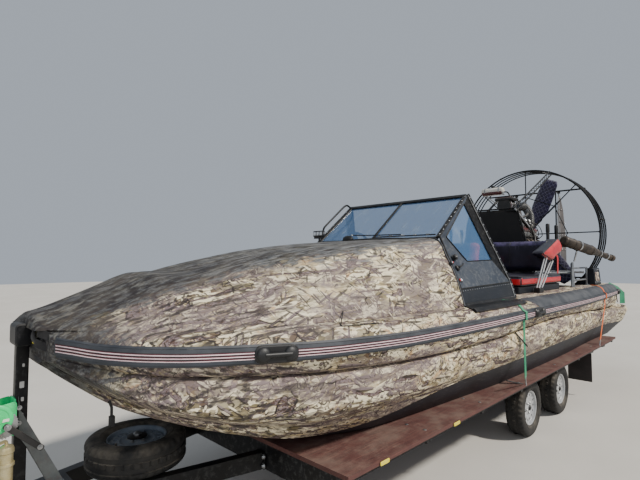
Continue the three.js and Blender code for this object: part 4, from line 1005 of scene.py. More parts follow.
def cleats():
    for number, (d, half) in enumerate(CLEATS):
        shape = Shape()
        ends = [Vector((aft(end), *eased(HULL, end)[:2])) for end in (d + half, d - half)]
        along = (ends[1] - ends[0]).normalized()
        shape.set_frame((ends[0] + ends[1]) / 2, along, (-along.y, along.x, 0), (0, 0, 1))
        plate = [(-half, 0, -0.046), (half, 0, -0.046), (half, 0, 0.046), (-half, 0, 0.046)]
        shape.panel(plate, (0, 0.03, 0), corner=0.045, edge=0.006)
        for end in (-1, 1):
            shape.ball((end * (half - 0.047), 0.026, 0), 0.042, (1, 0.6, 1))
        shape.tube([(-half + 0.05, 0.041, 0), (half - 0.05, 0.041, 0)], 0.013, 12)
        both_sides(shape, f"cleat_{number + 1}", [PLASTIC], slot="rail_rubber")


# Fore cover: distance aft, ridge height, and the shoulder's half width and height
COVER = [
    (0, 1.600, 0.150, 1.580), (0.12, 1.632, 0.200, 1.606), (0.34, 1.705, 0.275, 1.668),
    (0.60, 1.796, 0.360, 1.748), (0.74, 1.800, 0.395, 1.768), (1.01, 1.858, 0.460, 1.822),
    (1.55, 1.962, 0.570, 1.915), (2.23, 2.040, 0.665, 1.998), (2.975, 2.092, 0.745, 2.072),
]
COVER_END = 2.975
COVER_LEAN = 0.165


def cover_half(d):
    """Port half of the cover's section at distance d, from the tube to the ridge, as points in space."""
    beam, _, top = eased(HULL, d)[:3]
    ridge, shoulder_half, shoulder = eased(COVER, d)
    base = beam - 0.14 * min(1, beam / 0.9)
    bottom = top + 0.001
    grow = min(1, (ridge - top) / 0.56)
    bulge = 0.034 * grow
    outline = curve([
        (base, bottom), (base + (shoulder_half - base) * 0.36 + bulge, bottom + (shoulder - bottom) * 0.36),
        (base + (shoulder_half - base) * 0.72 + bulge, bottom + (shoulder - bottom) * 0.72),
        (shoulder_half, shoulder), (shoulder_half * 0.55, ridge - 0.008 * grow), (0, ridge)], 11)
    late = min(max((d - 2.3) / (COVER_END - 2.3), 0), 1)
    lean = COVER_LEAN * late * late * (3 - 2 * late)
    line = []
    for y, z in outline:
        drop = max(0, shoulder - z) / (shoulder - bottom)
        line.append(Vector((aft(d) + lean * drop, y, z)))
    return line


def fabric_fold(p, d, drop):
    """How far the loose cover stands in or out at a place: long folds drawn towards the bow."""
    near_bow = max(0, 1 - d / 2.4)
    along = p.x * 0.9
    girth = p.y * 3.4 + p.z * 2.6
    long_folds = 1 - abs(noise(Vector((along, girth * 2.1, 1.7)))) * 3.2
    fine = noise(Vector((along * 3.1, girth * 4.2, 5.1)))
    pinned = min(1, drop * 9, (d + 0.03) * 7)
    return pinned * (0.006 + 0.013 * near_bow) * (long_folds * 0.5 + fine * 0.5)


def fore_cover():
    shape = Shape()
    rings = []
    for d in stations(0, COVER_END, 0.024):
        half = cover_half(d)
        ridge = half[-1].z
        base = half[0].z
        line = []
        for p in half + [Vector((q.x, -q.y, q.z)) for q in half[-2::-1]]:
            drop = (p.z - base) / max(ridge - base, 0.01)
            out = Vector((0, p.y, max(0.05, p.z - base))).normalized()
            line.append(p + out * fabric_fold(p, d, drop))
        rings.append(line)
    low = rings[0][0].z
    nose = []
    for part in (0.0, 0.3, 0.58, 0.8, 0.94):
        fall = math.sqrt(1 - (1 - part) ** 2)
        nose.append([Vector((BOW_X + 0.055 * (1 - part), p.y * (0.8 + 0.2 * fall),
                             low + (p.z - low) * fall)) for p in rings[0]])
    shape.loft([*nose, *rings], closed=False)
    cover = shape.done("fore_cover_cloth", [CAMO], stands_for=["fore_cover"], slot="camo_fabric", angle=60)
    thicken(cover, 0.003)


# Windscreen
SCREEN_LOW = Vector((aft(2.99), 0, 2.082))
SCREEN_HIGH = Vector((aft(3.56), 0, 2.527))
SCREEN_OUT = Vector((0.6155, 0, 0.788))
SCREEN_UP = (SCREEN_HIGH - SCREEN_LOW).normalized()


def on_screen(side, up, out=0.0):
    """A point of the raked screen: side goes from -1 to 1, and up from 0 at its foot to 1 at its top."""
    place = SCREEN_LOW.lerp(SCREEN_HIGH, up) + SCREEN_OUT * out
    return Vector((place.x, side * (0.75 - 0.008 * up), place.z))


def windscreen():
    shape = Shape()
    shape.tube([on_screen(-1, 0), on_screen(1, 0)], 0.017, 16)
    for side in (-1, 1):
        shape.tube([on_screen(side, 0), on_screen(side, 1)], 0.016, 16)
        corners = ((1.01, 0.01), (1.045, 0.01), (1.045, 1), (1.01, 1))
        shape.panel([on_screen(side * k, up, 0.017) for k, up in corners], SCREEN_OUT * -0.008)
        for k in range(10):
            shape.stud(on_screen(side * (1.022 + 0.012 * (k % 2)), 0.06 + 0.098 * k, 0.017), SCREEN_OUT,
                       0.007, 0.005, 1)
    shape.set_frame(on_screen(0, 1), SCREEN_OUT, (0, 1, 0), SCREEN_UP)
    shape.block((-0.016, -0.757, -0.03), (0.016, 0.757, 0.02), axis=1, corner=0.006, edge=0.003)
    for k in range(17):
        shape.stud((0.002, -0.72 + 0.09 * k, 0.016), (0, 0, 1), 0.009, 0.008)
    shape.block((-0.012, -0.014, -0.7), (0.013, 0.014, -0.02), corner=0.004)
    shape.set_frame((0, 0, 0))
    grab = [on_screen(-1, 0.06), (aft(3.05), -0.752, 2.245), (aft(3.075), -0.752, 2.275),
            (aft(3.42), -0.748, 2.545), (aft(3.47), -0.746, 2.56), on_screen(-1, 0.97)]
    shape.tube(grab, 0.011, 12, bend=0.05)
    shape.done("windscreen_bars", [BLACK, STEEL], stands_for=["windscreen_frame"], slot="black_paint")


def wiper():
    """Rubber seal at the foot of the screen, and the wiper that parks along it."""
    shape = Shape()
    half = 0.745
    seal = [(0.818, y, 2.096 - 0.04 * abs(y / half) ** 2.2)
            for y in (-half, -0.5, -0.25, 0, 0.25, 0.5, half)]
    shape.tube(curve(seal, 4), 0.012, 10)
    shape.ball((0.834, -0.29, 2.104), 0.042, (0.8, 1.7, 1))
    shape.stud((0.83, -0.235, 2.142), (0.3, 0, 1), 0.014, 0.012, 1)
    arm = [(0.828, -0.235, 2.146), (0.80, -0.05, 2.14), (0.792, 0.36, 2.133)]
    shape.tube(arm, 0.006, 8, bend=0.06)
    shape.block((0.783, 0.02, 2.112), (0.795, 0.735, 2.124), axis=1, corner=0.003)
    for y in (0.08, 0.22, 0.36, 0.5, 0.64):
        shape.block((0.781, y, 2.118), (0.797, y + 0.03, 2.13), axis=1, corner=0.003, paint=1)
    shape.done("wiper_and_seal", [PLASTIC, STEEL], slot="black_plastic")


# Side wings: distance aft, half width and height of each corner
WING_CORNERS = (("apex", 3.566, 0.774, 2.545), ("screen", 2.993, 0.783, 2.090),
                ("fold_front", 2.856, 1.050, 1.640), ("front_foot", 2.815, 1.092, 1.502),
                ("rear_foot", 3.985, 1.062, 1.502), ("fold_rear", 3.980, 1.018, 1.660))
WING = {name: Vector((aft(d), y, z)) for name, d, y, z in WING_CORNERS}
WING_WINDOW = [(0.3193, 0.7793, 2.4431), (0.7052, 0.7956, 2.0949), (0.4632, 0.8771, 1.8702),
               (0.0466, 0.9345, 1.884)]
UPPER_OUT = Vector((0.1436, 0.9692, 0.2))
MIDDLE_OUT = Vector((-0.0155, 0.862, 0.5067))
FRONT_OUT = Vector((-0.1114, 0.8897, 0.4427))


def wings():
    shape = Shape()
    inward = Vector((0, -0.014, 0))
    outer = rounded([WING[name] for name in ("apex", "screen", "fold_front", "fold_rear")], 0.004)
    inner = rounded(WING_WINDOW, 0.012)
    edges = [0] * 15 + [2] * 5
    shape.loft([outer, inner, [p + inward for p in inner], [p + inward for p in outer], outer], edges,
               caps=False)
    shape.panel([WING[name] for name in ("fold_front", "front_foot", "rear_foot", "fold_rear")], inward,
                paint=1)
    rim = [p + UPPER_OUT * 0.001 for p in inner]
    shape.tube(rim + rim[:1], 0.006, 8, paint=2)
    back = [WING["apex"], WING["fold_rear"], WING["rear_foot"]]
    shape.tube([p + Vector((-0.004, -0.006, 0)) for p in back], 0.019, 12, bend=0.02, paint=2)
    edge = [p + Vector((0.016, 0.004, 0)) for p in back]
    shape.tube(edge, 0.005, 8, bend=0.02, paint=3)
    for k in range(16):
        a, b = (back[0], back[1]) if k < 13 else (back[1], back[2])
        place = a.lerp(b, (k + 0.5) / 13 if k < 13 else (k - 12.6) / 3)
        shape.stud(place + Vector((0.006, 0.008, 0)), UPPER_OUT, 0.008, 0.007, 3)
    shape.tube([WING["screen"], WING["fold_front"], WING["front_foot"]], 0.009, 10, bend=0.02, paint=2)
    fold = [WING["fold_front"] + MIDDLE_OUT * 0.002, WING["fold_rear"] + MIDDLE_OUT * 0.002]
    shape.tube(fold, 0.006, 8, paint=2)
    for k in range(24):
        shape.stud(fold[0].lerp(fold[1], (k + 0.5) / 24) + Vector((0, 0.004, -0.02)), (0, 1, 0.2), 0.005,
                   0.004, 3)
    both_sides(shape, "wing_sheet", [PANEL, DARK_PANEL, BLACK, STEEL], stands_for=["wing_panel"],
               slot="grey_panel")
    pane = Shape()
    glass = rounded([p - UPPER_OUT * 0.005 for p in map(Vector, WING_WINDOW)], 0.012)
    pane.panel(glass, UPPER_OUT * -0.004, edge=0.001)
    both_sides(pane, "wing_window", [PANE], stands_for=["wing_pane"], slot="clear_pane")
    sill = Shape()
    band(sill, (2.80, 3.83), 0.098, 0.186, 0.008, across=4)
    band(sill, (2.795, 3.835), 0.066, 0.1, 0.02, across=2)
    front, rear = WING["front_foot"], WING["rear_foot"]
    high, low = Vector((0, 0.004, 0.02)), Vector((0, 0.016, -0.004))
    sill.panel([front + high, rear + high, rear + low, front + low], (0, -0.02, 0), edge=0.004)
    both_sides(sill, "wing_sill", [BLACK], slot="black_plastic")
    fittings()


def fittings():
    """Lock knob, lever and lamps on each wing."""
    shape = Shape()
    across = FRONT_OUT.cross(Vector((0, 0, 1))).normalized()
    up = across.cross(FRONT_OUT)
    shape.set_frame((0.767, 0.900, 1.901), across, up, FRONT_OUT)
    knob = [(0, 0), (0.03, 0), (0.03, 0.005), (0.02, 0.008), (0.019, 0.012), (0.026, 0.018), (0.027, 0.026),
            (0.02, 0.033), (0, 0.035)]
    shape.turned(knob, (0, 0, 0), (0, 0, 1), 24)
    shape.stud((0, 0, 0.034), (0, 0, 1), 0.006, 0.003, 1)
    shape.set_frame((0.873, 0.935, 1.857), across, up, FRONT_OUT)
    shape.block((-0.02, -0.014, 0), (0.02, 0.014, 0.012), corner=0.008)
    shape.stud((-0.008, 0, 0.012), (0, 0, 1), 0.009, 0.008, 2)
    shape.stud((0.01, 0, 0.012), (0, 0, 1), 0.007, 0.006, 3)
    shape.set_frame((0.793, 0.947, 1.812), across, up, FRONT_OUT)
    shape.turned([(0, 0), (0.027, 0), (0.027, 0.01), (0.018, 0.018), (0, 0.018)], (0, 0, 0), (0, 0, 1), 24)
    shape.tube([(0, 0, 0.016), (-0.002, 0, 0.03), (-0.06, 0.012, 0.034), (-0.115, 0.03, 0.028)], 0.0085, 10,
               bend=0.015)
    shape.set_frame((0.863, 1.002, 1.705), (1, 0, 0), MIDDLE_OUT.cross(Vector((1, 0, 0))),
                    MIDDLE_OUT)
    shape.block((-0.03, -0.018, 0), (0.03, 0.018, 0.012), corner=0.012)
    shape.block((-0.022, -0.011, 0.012), (0.0, 0.011, 0.02), corner=0.008, paint=3)
    shape.block((0.002, -0.011, 0.012), (0.022, 0.011, 0.02), corner=0.008, paint=2)
    both_sides(shape, "wing_fittings", [PLASTIC, STEEL, RED_LENS, LENS], slot="black_plastic")


def work_light():
    """Three cells in a finned housing, on a stem from the cover."""
    shape = Shape()
    shape.set_frame((aft(2.905), -0.68, 2.18), (1, 0, 0.06), (0, 1, 0), (-0.06, 0, 1))
    shape.block((-0.016, -0.075, -0.032), (0.022, 0.075, 0.032), axis=0, corner=0.008, edge=0.004)
    for k in range(9):
        shape.block((-0.03, -0.07 + 0.0165 * k, -0.026), (-0.012, -0.064 + 0.0165 * k, 0.026), axis=1,
                    corner=0.006, edge=0.0008)
    for k in (-1, 0, 1):
        shape.block((0.021, k * 0.048 - 0.02, -0.021), (0.0235, k * 0.048 + 0.02, 0.021), axis=0,
                    corner=0.005, edge=0.0008, paint=1)
        shape.turned([(0.017, 0.0235), (0.012, 0.0245), (0.004, 0.0275), (0, 0.028)], (0, k * 0.048, 0),
                     (1, 0, 0), 20, 2)
    for side in (-1, 1):
        shape.bolt((0.0, side * 0.076, 0), (0, side, 0), 0.008, 3)
    shape.panel([(0, -0.081, -0.01), (0, 0.081, -0.01), (0, 0.081, -0.055), (0, -0.081, -0.055)],
                (-0.004, 0, 0), corner=0.01)
    shape.set_frame((0, 0, 0))
    shape.tube([(aft(2.91), -0.68, 2.055), (aft(2.91), -0.68, 2.14)], 0.012, 12)
    shape.turned([(0, 0), (0.034, 0), (0.03, 0.012), (0.014, 0.018), (0, 0.018)], (aft(2.91), -0.68, 2.058),
                 (0.1, -0.15, 1), 20)
    shape.done("work_light_head", [PLASTIC, STEEL, LENS, STEEL], stands_for=["work_light"],
               slot="black_plastic")


# Helm
WHEEL_TILT = math.radians(22)
WHEEL_RADIUS = 0.165
COLUMN = Vector((aft(3.16), -0.4, 1.99))
COLUMN_AXIS = Vector((-math.cos(WHEEL_TILT), 0, math.sin(WHEEL_TILT)))
GAUGES = ((-0.56, 0.034), (-0.46, 0.05), (-0.34, 0.05), (-0.24, 0.034), (-0.15, 0.034))


def dashboard():
    shape = Shape()
    section = [(3.007, 1.85), (3.007, 2.076), (3.066, 2.076), (3.17, 2.01), (3.15, 1.85)]
    shape.panel([(aft(d), -0.69, z) for d, z in section], (0, 1.38, 0), corner=0.02, edge=0.006)
    shape.block((aft(3.14), -0.64, SOLE_TOP), (aft(3.03), -0.16, 1.9), corner=0.03, edge=0.006)
    out = Vector((-0.977, 0, 0.12)).normalized()
    up = Vector((0.12, 0, 0.977)).normalized()
    for k, (y, size) in enumerate(GAUGES):
        shape.set_frame((aft(3.163), y, 1.945), (0, 1, 0), up, out)
        shape.turned([(size, -0.01), (size, 0.012), (size * 0.88, 0.014), (size * 0.84, 0.008), (0, 0.008)],
                     (0, 0, 0), (0, 0, 1), 28, [1, 1, 1, 0])
        for mark in range(9):
            angle = math.radians(-120 + mark * 30)
            line = [(math.sin(angle) * r, math.cos(angle) * r, 0.0088) for r in (size * 0.62, size * 0.78)]
            shape.tube(line, size * 0.02, 4, paint=2)
        needle = math.radians(-100 + 37 * k)
        shape.tube([(0, 0, 0.009), (math.sin(needle) * size * 0.6, math.cos(needle) * size * 0.6, 0.009)],
                   size * 0.03, 4, paint=3)
    for k in range(7):
        shape.set_frame((aft(3.16), 0.02 + 0.075 * k, 1.94), (0, 1, 0), up, out)
        shape.block((-0.018, -0.026, 0), (0.018, 0.026, 0.005), corner=0.004)
        shape.block((-0.011, -0.018, 0.004), (0.011, 0.018, 0.013), corner=0.003, edge=0.003,
                    paint=3 if k % 3 == 0 else 0)
    shape.set_frame((0, 0, 0))
    boss = [(0, -0.06), (0.046, -0.06), (0.046, -0.02), (0.034, 0.0), (0.034, 0.018), (0, 0.02)]
    shape.turned(boss, COLUMN, COLUMN_AXIS, 28)
    shape.tube([(aft(3.15), -0.19, 1.80), (aft(3.24), -0.19, 1.84), (aft(3.3), -0.19, 1.93)], 0.009, 10,
               bend=0.03, paint=1)
    shape.ball((aft(3.302), -0.19, 1.94), 0.024)
    shape.done("dash_and_console", [PLASTIC, STEEL, WHITE, RED_LENS], stands_for=["dashboard"],
               slot="black_plastic")


def steering_wheel():
    shape = Shape()
    centre = COLUMN + COLUMN_AXIS * 0.12
    up = Vector((math.sin(WHEEL_TILT), 0, math.cos(WHEEL_TILT)))
    shape.set_frame(centre, (0, 1, 0), up, COLUMN_AXIS)
    grip = [(WHEEL_RADIUS + across, along) for across, along in around(12, 0.0128)]
    shape.turned(grip, (0, 0, 0), (0, 0, 1), 72, loop=True)
    shape.tube([(0, 0, -0.0996), (0, 0, 0.0)], 0.016, 20, paint=1)
    shape.turned([(0, -0.015), (0.042, -0.015), (0.044, 0.004), (0.036, 0.012), (0.02, 0.015), (0, 0.016)],
                 (0, 0, 0), (0, 0, 1), 32)
    for degrees in (90, 210, 330):
        angle = math.radians(degrees)
        reach = Vector((math.cos(angle), math.sin(angle), 0))
        side = Vector((-reach.y, reach.x, 0))
        outline = [reach * 0.03 - side * 0.017, reach * 0.16 - side * 0.011, reach * 0.16 + side * 0.011,
                   reach * 0.03 + side * 0.017]
        shape.panel([p + Vector((0, 0, -0.004)) for p in outline], (0, 0, 0.007), edge=0.002, paint=1)
    for across, up in around(12, WHEEL_RADIUS, math.radians(15)):
        shape.ball((across, up, -0.003), 0.0132, sides=10)
    shape.done("helm_ring", [PLASTIC, STEEL], body="helm_wheel", stands_for=["steering_wheel"],
               slot="black_plastic")


# Padded pieces
def pillow(shape, low, high, soft, gap=0.03):
    """A block with deeply rounded edges, lofted along Y, that a pad is blown up from."""
    low, high = Vector(low), Vector(high)
    rings = []
    length = high.y - low.y
    ends = [soft * (1 - math.cos(k * math.pi / 8)) for k in range(5)]
    places = ends + stations(soft, length - soft, gap)[1:-1] + [length - e for e in ends[::-1]]
    for place in places:
        near = min(place, length - place, soft) / soft
        cut = soft * (1 - math.sqrt(max(0, 1 - (1 - near) ** 2)))
        corners = [(low.x + cut, low.z + cut), (high.x - cut, low.z + cut), (high.x - cut, high.z - cut),
                   (low.x + cut, high.z - cut)]
        outline = [Vector((x, low.y + place, z)) for x, z in corners]
        rings.append(rounded(outline, max(0.004, soft - cut), 5))
    return shape.loft(rings)


CLOTH_FRAMES = 20


def blow_up(piece, voxel, cap):
    """Swells a pad as cloth under pressure. No point moves further than cap."""
    def freeze():
        graph = bpy.context.evaluated_depsgraph_get()
        return bpy.data.meshes.new_from_object(piece.evaluated_get(graph))
    skin = piece.modifiers.new("skin", "REMESH")
    skin.mode = "VOXEL"
    skin.voxel_size = voxel
    finishes = list(piece.data.materials)
    piece.data = freeze()
    piece.modifiers.clear()
    cloth = piece.modifiers.new("cloth", "CLOTH")
    cloth.settings.quality = 4
    cloth.settings.use_pressure = True
    cloth.settings.uniform_pressure_force = 4
    cloth.settings.effector_weights.gravity = 0
    cloth.point_cache.frame_start = 1
    cloth.point_cache.frame_end = CLOTH_FRAMES
    for number in range(1, CLOTH_FRAMES + 1):
        bpy.context.scene.frame_set(number)
    blown = freeze()
    for vertex, moved in zip(piece.data.vertices, blown.vertices):
        step = moved.co - vertex.co
        vertex.co += step * min(1, cap / max(step.length, 1e-6))
    piece.modifiers.clear()
    bpy.data.meshes.remove(blown)
    bpy.context.scene.frame_set(1)
    piece.data.materials.clear()
    for finish in finishes:
        piece.data.materials.append(finish)
    subdivide(piece)
    piece.data.shade_smooth()


def contour(mesh, point, normal):
    """The longest line where a plane cuts a mesh."""
    sliced = bmesh.new()
    sliced.from_mesh(mesh)
    found = bmesh.ops.bisect_plane(sliced, geom=sliced.verts[:] + sliced.edges[:] + sliced.faces[:],
                                   plane_co=point, plane_no=normal)
    edges = dict.fromkeys(item for item in found["geom_cut"] if isinstance(item, bmesh.types.BMEdge))
    best = []
    while edges:
        first = next(iter(edges))
        del edges[first]
        line = [first.verts[0], first.verts[1]]
        while True:
            following = next((edge for edge in line[-1].link_edges if edge in edges), None)
            if following is None:
                break
            del edges[following]
            line.append(following.other_vert(line[-1]))
        if len(line) > len(best):
            best = [vert.co.copy() for vert in line]
    sliced.free()
    return best


def piping(shape, piece, point, normal, radius=0.006, lift=0.001):
    """A round cord sewn in where a plane cuts the pad."""
    line = contour(piece.data, Vector(point), Vector(normal))[::2]
    middle = sum(line, Vector()) / len(line)
    line = [p + (p - middle).normalized() * lift for p in line]
    shape.tube(line + line[:1], radius, 8)


def paint_by(piece, choose):
    for face in piece.data.polygons:
        face.material_index = choose(face.center)


def mirror_piece(piece, name, *nodes):
    """The same pad on the other side of the boat."""
    mesh = piece.data.copy()
    mesh.transform(Matrix.Diagonal((1, -1, 1, 1)))
    mesh.flip_normals()
    other = placed(name, mesh)
    subdivide(other)
    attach(other, CRAFT)
    if nodes:
        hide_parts(*nodes)
    return other


def front_seats():
    cushion = pillow(Shape(), (aft(4.055), 0.175, 1.43), (aft(3.568), 0.665, 1.55), 0.045)
    cushion = cushion.done("seat_cushion_port", [VINYL, RED_VINYL], slot="upholstery")
    blow_up(cushion, 0.022, 0.016)
    lean = Vector((-0.12, 0, 1)).normalized()
    back = Shape()
    back.set_frame((aft(4.04) + 0.057, 0, 1.45), (1, 0, 0.12), (0, 1, 0), lean)
    pillow(back, (-0.052, 0.175, 0.12), (0.052, 0.665, 0.645), 0.04)
    back = back.done("seat_back_port", [VINYL, RED_VINYL], stands_for=["front_seat_port"],
                     slot="upholstery")
    blow_up(back, 0.022, 0.016)
    seams = Shape()
    for pad in (cushion, back):
        paint_by(pad, lambda p: 1 if abs(p.y - 0.42) > 0.155 else 0)
        for y in (0.265, 0.575):
            piping(seams, pad, (0, y, 0), (0, 1, 0), 0.005)
    seams.block((aft(3.97), 0.26, SOLE_TOP), (aft(3.64), 0.58, 1.425), corner=0.03, edge=0.006)
    seams.block((aft(4.05), 0.2, 1.415), (aft(3.58), 0.64, 1.432), corner=0.02, edge=0.004)
    for y in (0.2, 0.64):
        seams.tube([(aft(3.9), y, 1.425), (aft(4.04), y, 1.44), (aft(4.075), y, 1.7)], 0.012, 10, bend=0.04)
    both_sides(seams, "seat_frame_and_piping", [PLASTIC], slot="black_plastic")
    for pad in (cushion, mirror_piece(cushion, "seat_cushion_starboard"),
                back, mirror_piece(back, "seat_back_starboard", "front_seat_starboard")):
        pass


def bench():
    cushion = pillow(Shape(), (aft(5.94), -0.945, 1.584), (aft(4.51), 0.945, 1.705), 0.04, 0.06)
    cushion = cushion.done("bench_pad", [VINYL, RED_VINYL], stands_for=["bench_cushion"], slot="upholstery")
    blow_up(cushion, 0.024, 0.014)
    edge = aft(4.51)
    paint_by(cushion, lambda p: 1 if (abs(p.y) > 0.925 or p.x > edge - 0.02) and 1.6 < p.z < 1.675 else 0)
    back = Shape()
    back.set_frame((aft(5.49), 0, 1.72), (1, 0, 0.04), (0, 1, 0), (-0.04, 0, 1))
    pillow(back, (-0.08, -0.945, 0.006), (0.075, 0.945, 0.43), 0.05, 0.05)
    back = back.done("bench_backrest", [VINYL, RED_VINYL, HIGHLIGHT_VINYL], stands_for=["bench_back"],
                     slot="upholstery")
    blow_up(back, 0.022, 0.016)
    # Painted highlight: the top of the backrest takes the lighter vinyl.
    paint_by(back, lambda p: 2 if p.z > 2.07 else 0)
    seams = Shape()
    reach = max(vertex.co.y for vertex in back.data.vertices)
    for side in (-1, 1):
        piping(seams, back, (0, side * 0.905, 0), (0, 1, 0), 0.009)
        piping(seams, back, (0, side * (reach - 0.007), 0), (0, 1, 0), 0.007, lift=0)
    for y in (-0.45, 0.0, 0.45):
        piping(seams, back, (0, y, 0), (0, 1, 0), 0.004, lift=-0.002)
        piping(seams, cushion, (0, y, 0), (0, 1, 0), 0.004, lift=0)
    piping(seams, cushion, (0, 0, 1.692), (0, 0, 1), 0.006)
    piping(seams, cushion, (0, 0, 1.596), (0, 0, 1), 0.006)
    # Wrinkles that hang from the top of the backrest, in the lighter vinyl as painted highlight.
    for k in range(26):
        y = -0.86 + 0.069 * k
        drop = [(aft(5.41), y, 2.135), (aft(5.405), y + 0.012 * math.sin(k * 2.3), 2.10),
                (aft(5.4), y + 0.02 * math.sin(k * 1.7), 2.04 - 0.02 * math.sin(k))]
        seams.tube(curve(drop, 4), 0.0035, 6, paint=1, shape=lambda part: 1 - 0.8 * part)
    seams.done("bench_piping", [PLASTIC, HIGHLIGHT_VINYL], slot="upholstery")


def locker():
    """Box under the bench, with a lid line, vents and latches on its front."""
    shape = Shape()
    shape.block((aft(5.95), -0.778, SOLE_TOP), (aft(4.56), 0.778, 1.5), corner=0.012, edge=0.004)
    shape.block((aft(5.95), -0.9, TUBE_TOP), (aft(4.52), 0.9, 1.58), corner=0.02, edge=0.005)
    front = aft(4.56)
    for side in (-1, 1):
        y = side * 0.42
        for k in range(5):
            z = 1.16 + 0.03 * k
            shape.block((front - 0.004, y - 0.12, z), (front + 0.006, y + 0.12, z + 0.012), axis=1,
                        corner=0.003, edge=0.0008)
        y = side * 0.3
        shape.block((front - 0.004, y - 0.03, 1.42), (front + 0.014, y + 0.03, 1.49), axis=0, corner=0.01,
                    paint=1)
    shape.done("bench_box", [DARK_PANEL, STEEL], stands_for=["bench_locker"], slot="black_plastic")


def cockpit_sole():
    """Studded rubber mat."""
    shape = Shape()
    shape.block((aft(4.54), -0.76, 0.9303), (aft(2.2), 0.76, 0.936), corner=0.03, edge=0.001)
    for i in range(36):
        for j in range(24):
            shape.stud((aft(4.5) + 0.064 * i, -0.73 + 0.0635 * j, 0.936), (0, 0, 1), 0.011, 0.002, 0, 8)
    shape.done("floor_mat", [PLASTIC], slot="black_plastic")


# Engine bay
ROLL_END = [(-1.262, 1.968), (-1.828, 2.168), (-1.9, 2.142), (-1.99, 2.062), (-1.93, 1.984), (-1.745, 1.93),
            (-1.6, 1.878)]


def support(circles):
    """The line of a belt stretched round circles given as (y, z, radius)."""
    line = []
    for point in around(48, 1):
        out = Vector(point)
        y, z, radius = max(circles, key=lambda c: c[0] * out.x + c[1] * out.y + c[2])
        line.append((y + radius * out.x, z + radius * out.y))
    return line


ENGINE_FINISHES = [ENGINE_BLACK, ALLOY, MAROON, STEEL, SILENCER, WHITE]
PART_BLACK, PART_ALLOY, PART_MAROON, PART_STEEL, PART_PIPE, PART_WHITE = range(6)
HOSES = (
    ([(6.2, 0.06, 2.34), (6.08, 0.1, 2.42), (6.1, 0.28, 2.5), (6.3, 0.36, 2.56), (6.5, 0.3, 2.66)], 0.02),
    ([(6.2, -0.08, 2.2), (6.06, -0.14, 2.28), (6.08, -0.24, 2.5), (6.3, -0.2, 2.7), (6.6, -0.2, 2.86)],
     0.018),
    ([(6.8, 0.05, 2.5), (6.9, 0.1, 2.56), (6.96, 0.2, 2.4), (6.9, 0.27, 2.1)], 0.016),
    ([(6.3, 0.25, 1.9), (6.2, 0.42, 1.98), (6.35, 0.46, 2.2), (6.55, 0.3, 2.5)], 0.012),
    ([(6.5, -0.3, 1.9), (6.6, -0.42, 2.1), (6.7, -0.38, 2.4), (6.75, -0.1, 2.58)], 0.01),
)


def engine():
    shape = Shape()
    engine_block(shape)
    air_intake(shape)
    belt_drive(shape)
    hoses(shape)
    shape.done("engine_assembly", ENGINE_FINISHES, stands_for=["engine"], slot="engine_alloy")


def engine_block(shape):
    """Block, heads, valve covers, plugs with their leads, runners and manifolds."""
    shape.block((aft(6.95), -0.25, 1.7184), (aft(6.18), 0.25, 2.16), axis=0, corner=0.03, edge=0.01,
                paint=PART_ALLOY)
    shape.block((aft(6.9), -0.21, 1.722), (aft(6.24), 0.21, 1.78), axis=0, corner=0.02, edge=0.01,
                paint=PART_BLACK)
    for side in (-1, 1):
        for k in range(7):
            x = aft(6.26 + 0.1 * k)
            shape.block((x - 0.008, side * 0.255 - 0.012, 1.8), (x + 0.008, side * 0.255 + 0.012, 2.1),
                        axis=2, corner=0.006, paint=PART_ALLOY)
        head = [(0.06, 2.12), (0.25, 2.1), (0.325, 2.32), (0.13, 2.405)]
        shape.panel([(aft(6.21), side * y, z) for y, z in head], (-0.68, 0, 0), corner=0.03, edge=0.012,
                    paint=PART_ALLOY)
        cover = [(0.145, 2.385), (0.315, 2.315), (0.34, 2.37), (0.17, 2.45)]
        shape.panel([(aft(6.24), side * y, z) for y, z in cover], (-0.62, 0, 0), corner=0.03, edge=0.014,
                    paint=PART_MAROON)
        lean = Vector((0, side * 0.38, 0.92)).normalized()
        for k in range(4):
            x = aft(6.31 + 0.16 * k)
            shape.bolt((x, side * 0.25, 2.412), lean, 0.011, PART_STEEL)
            shape.turned([(0, 0), (0.02, 0), (0.02, 0.02), (0.014, 0.03), (0.014, 0.075), (0, 0.078)],
                         (x, side * 0.3, 2.25), (0, side, -0.25), 14, PART_BLACK)
            lead = [(x, 0.375, 2.23), (x - 0.03, 0.41, 2.3), (x - 0.02, 0.33, 2.46), (aft(6.5), 0.12, 2.56)]
            runner = [(x, 0.12, 2.5), (x, 0.2, 2.53), (x, 0.235, 2.46), (x, 0.2, 2.37)]
            manifold = [(x, 0.28, 2.2), (x, 0.37, 2.18), (x - 0.02, 0.39, 2.12)]
            for line, steps, radius, sides, paint in ((lead, 5, 0.006, 8, PART_BLACK),
                                                      (runner, 4, 0.027, 14, PART_STEEL),
                                                      (manifold, 4, 0.024, 12, PART_PIPE)):
                placed_line = curve([(px, side * y, z) for px, y, z in line], steps)
                shape.tube(placed_line, radius, sides, paint=paint)
        shape.tube([(aft(6.25), side * 0.39, 2.11), (aft(6.86), side * 0.39, 2.11)], 0.034, 16,
                   paint=PART_PIPE)
    shape.block((aft(6.8), -0.13, 2.38), (aft(6.26), 0.13, 2.6), axis=0, corner=0.04, edge=0.014,
                paint=PART_ALLOY)
    for k in range(6):
        x = aft(6.3 + 0.09 * k)
        shape.block((x - 0.006, -0.125, 2.59), (x + 0.006, 0.125, 2.612), axis=0, corner=0.008,
                    paint=PART_ALLOY)


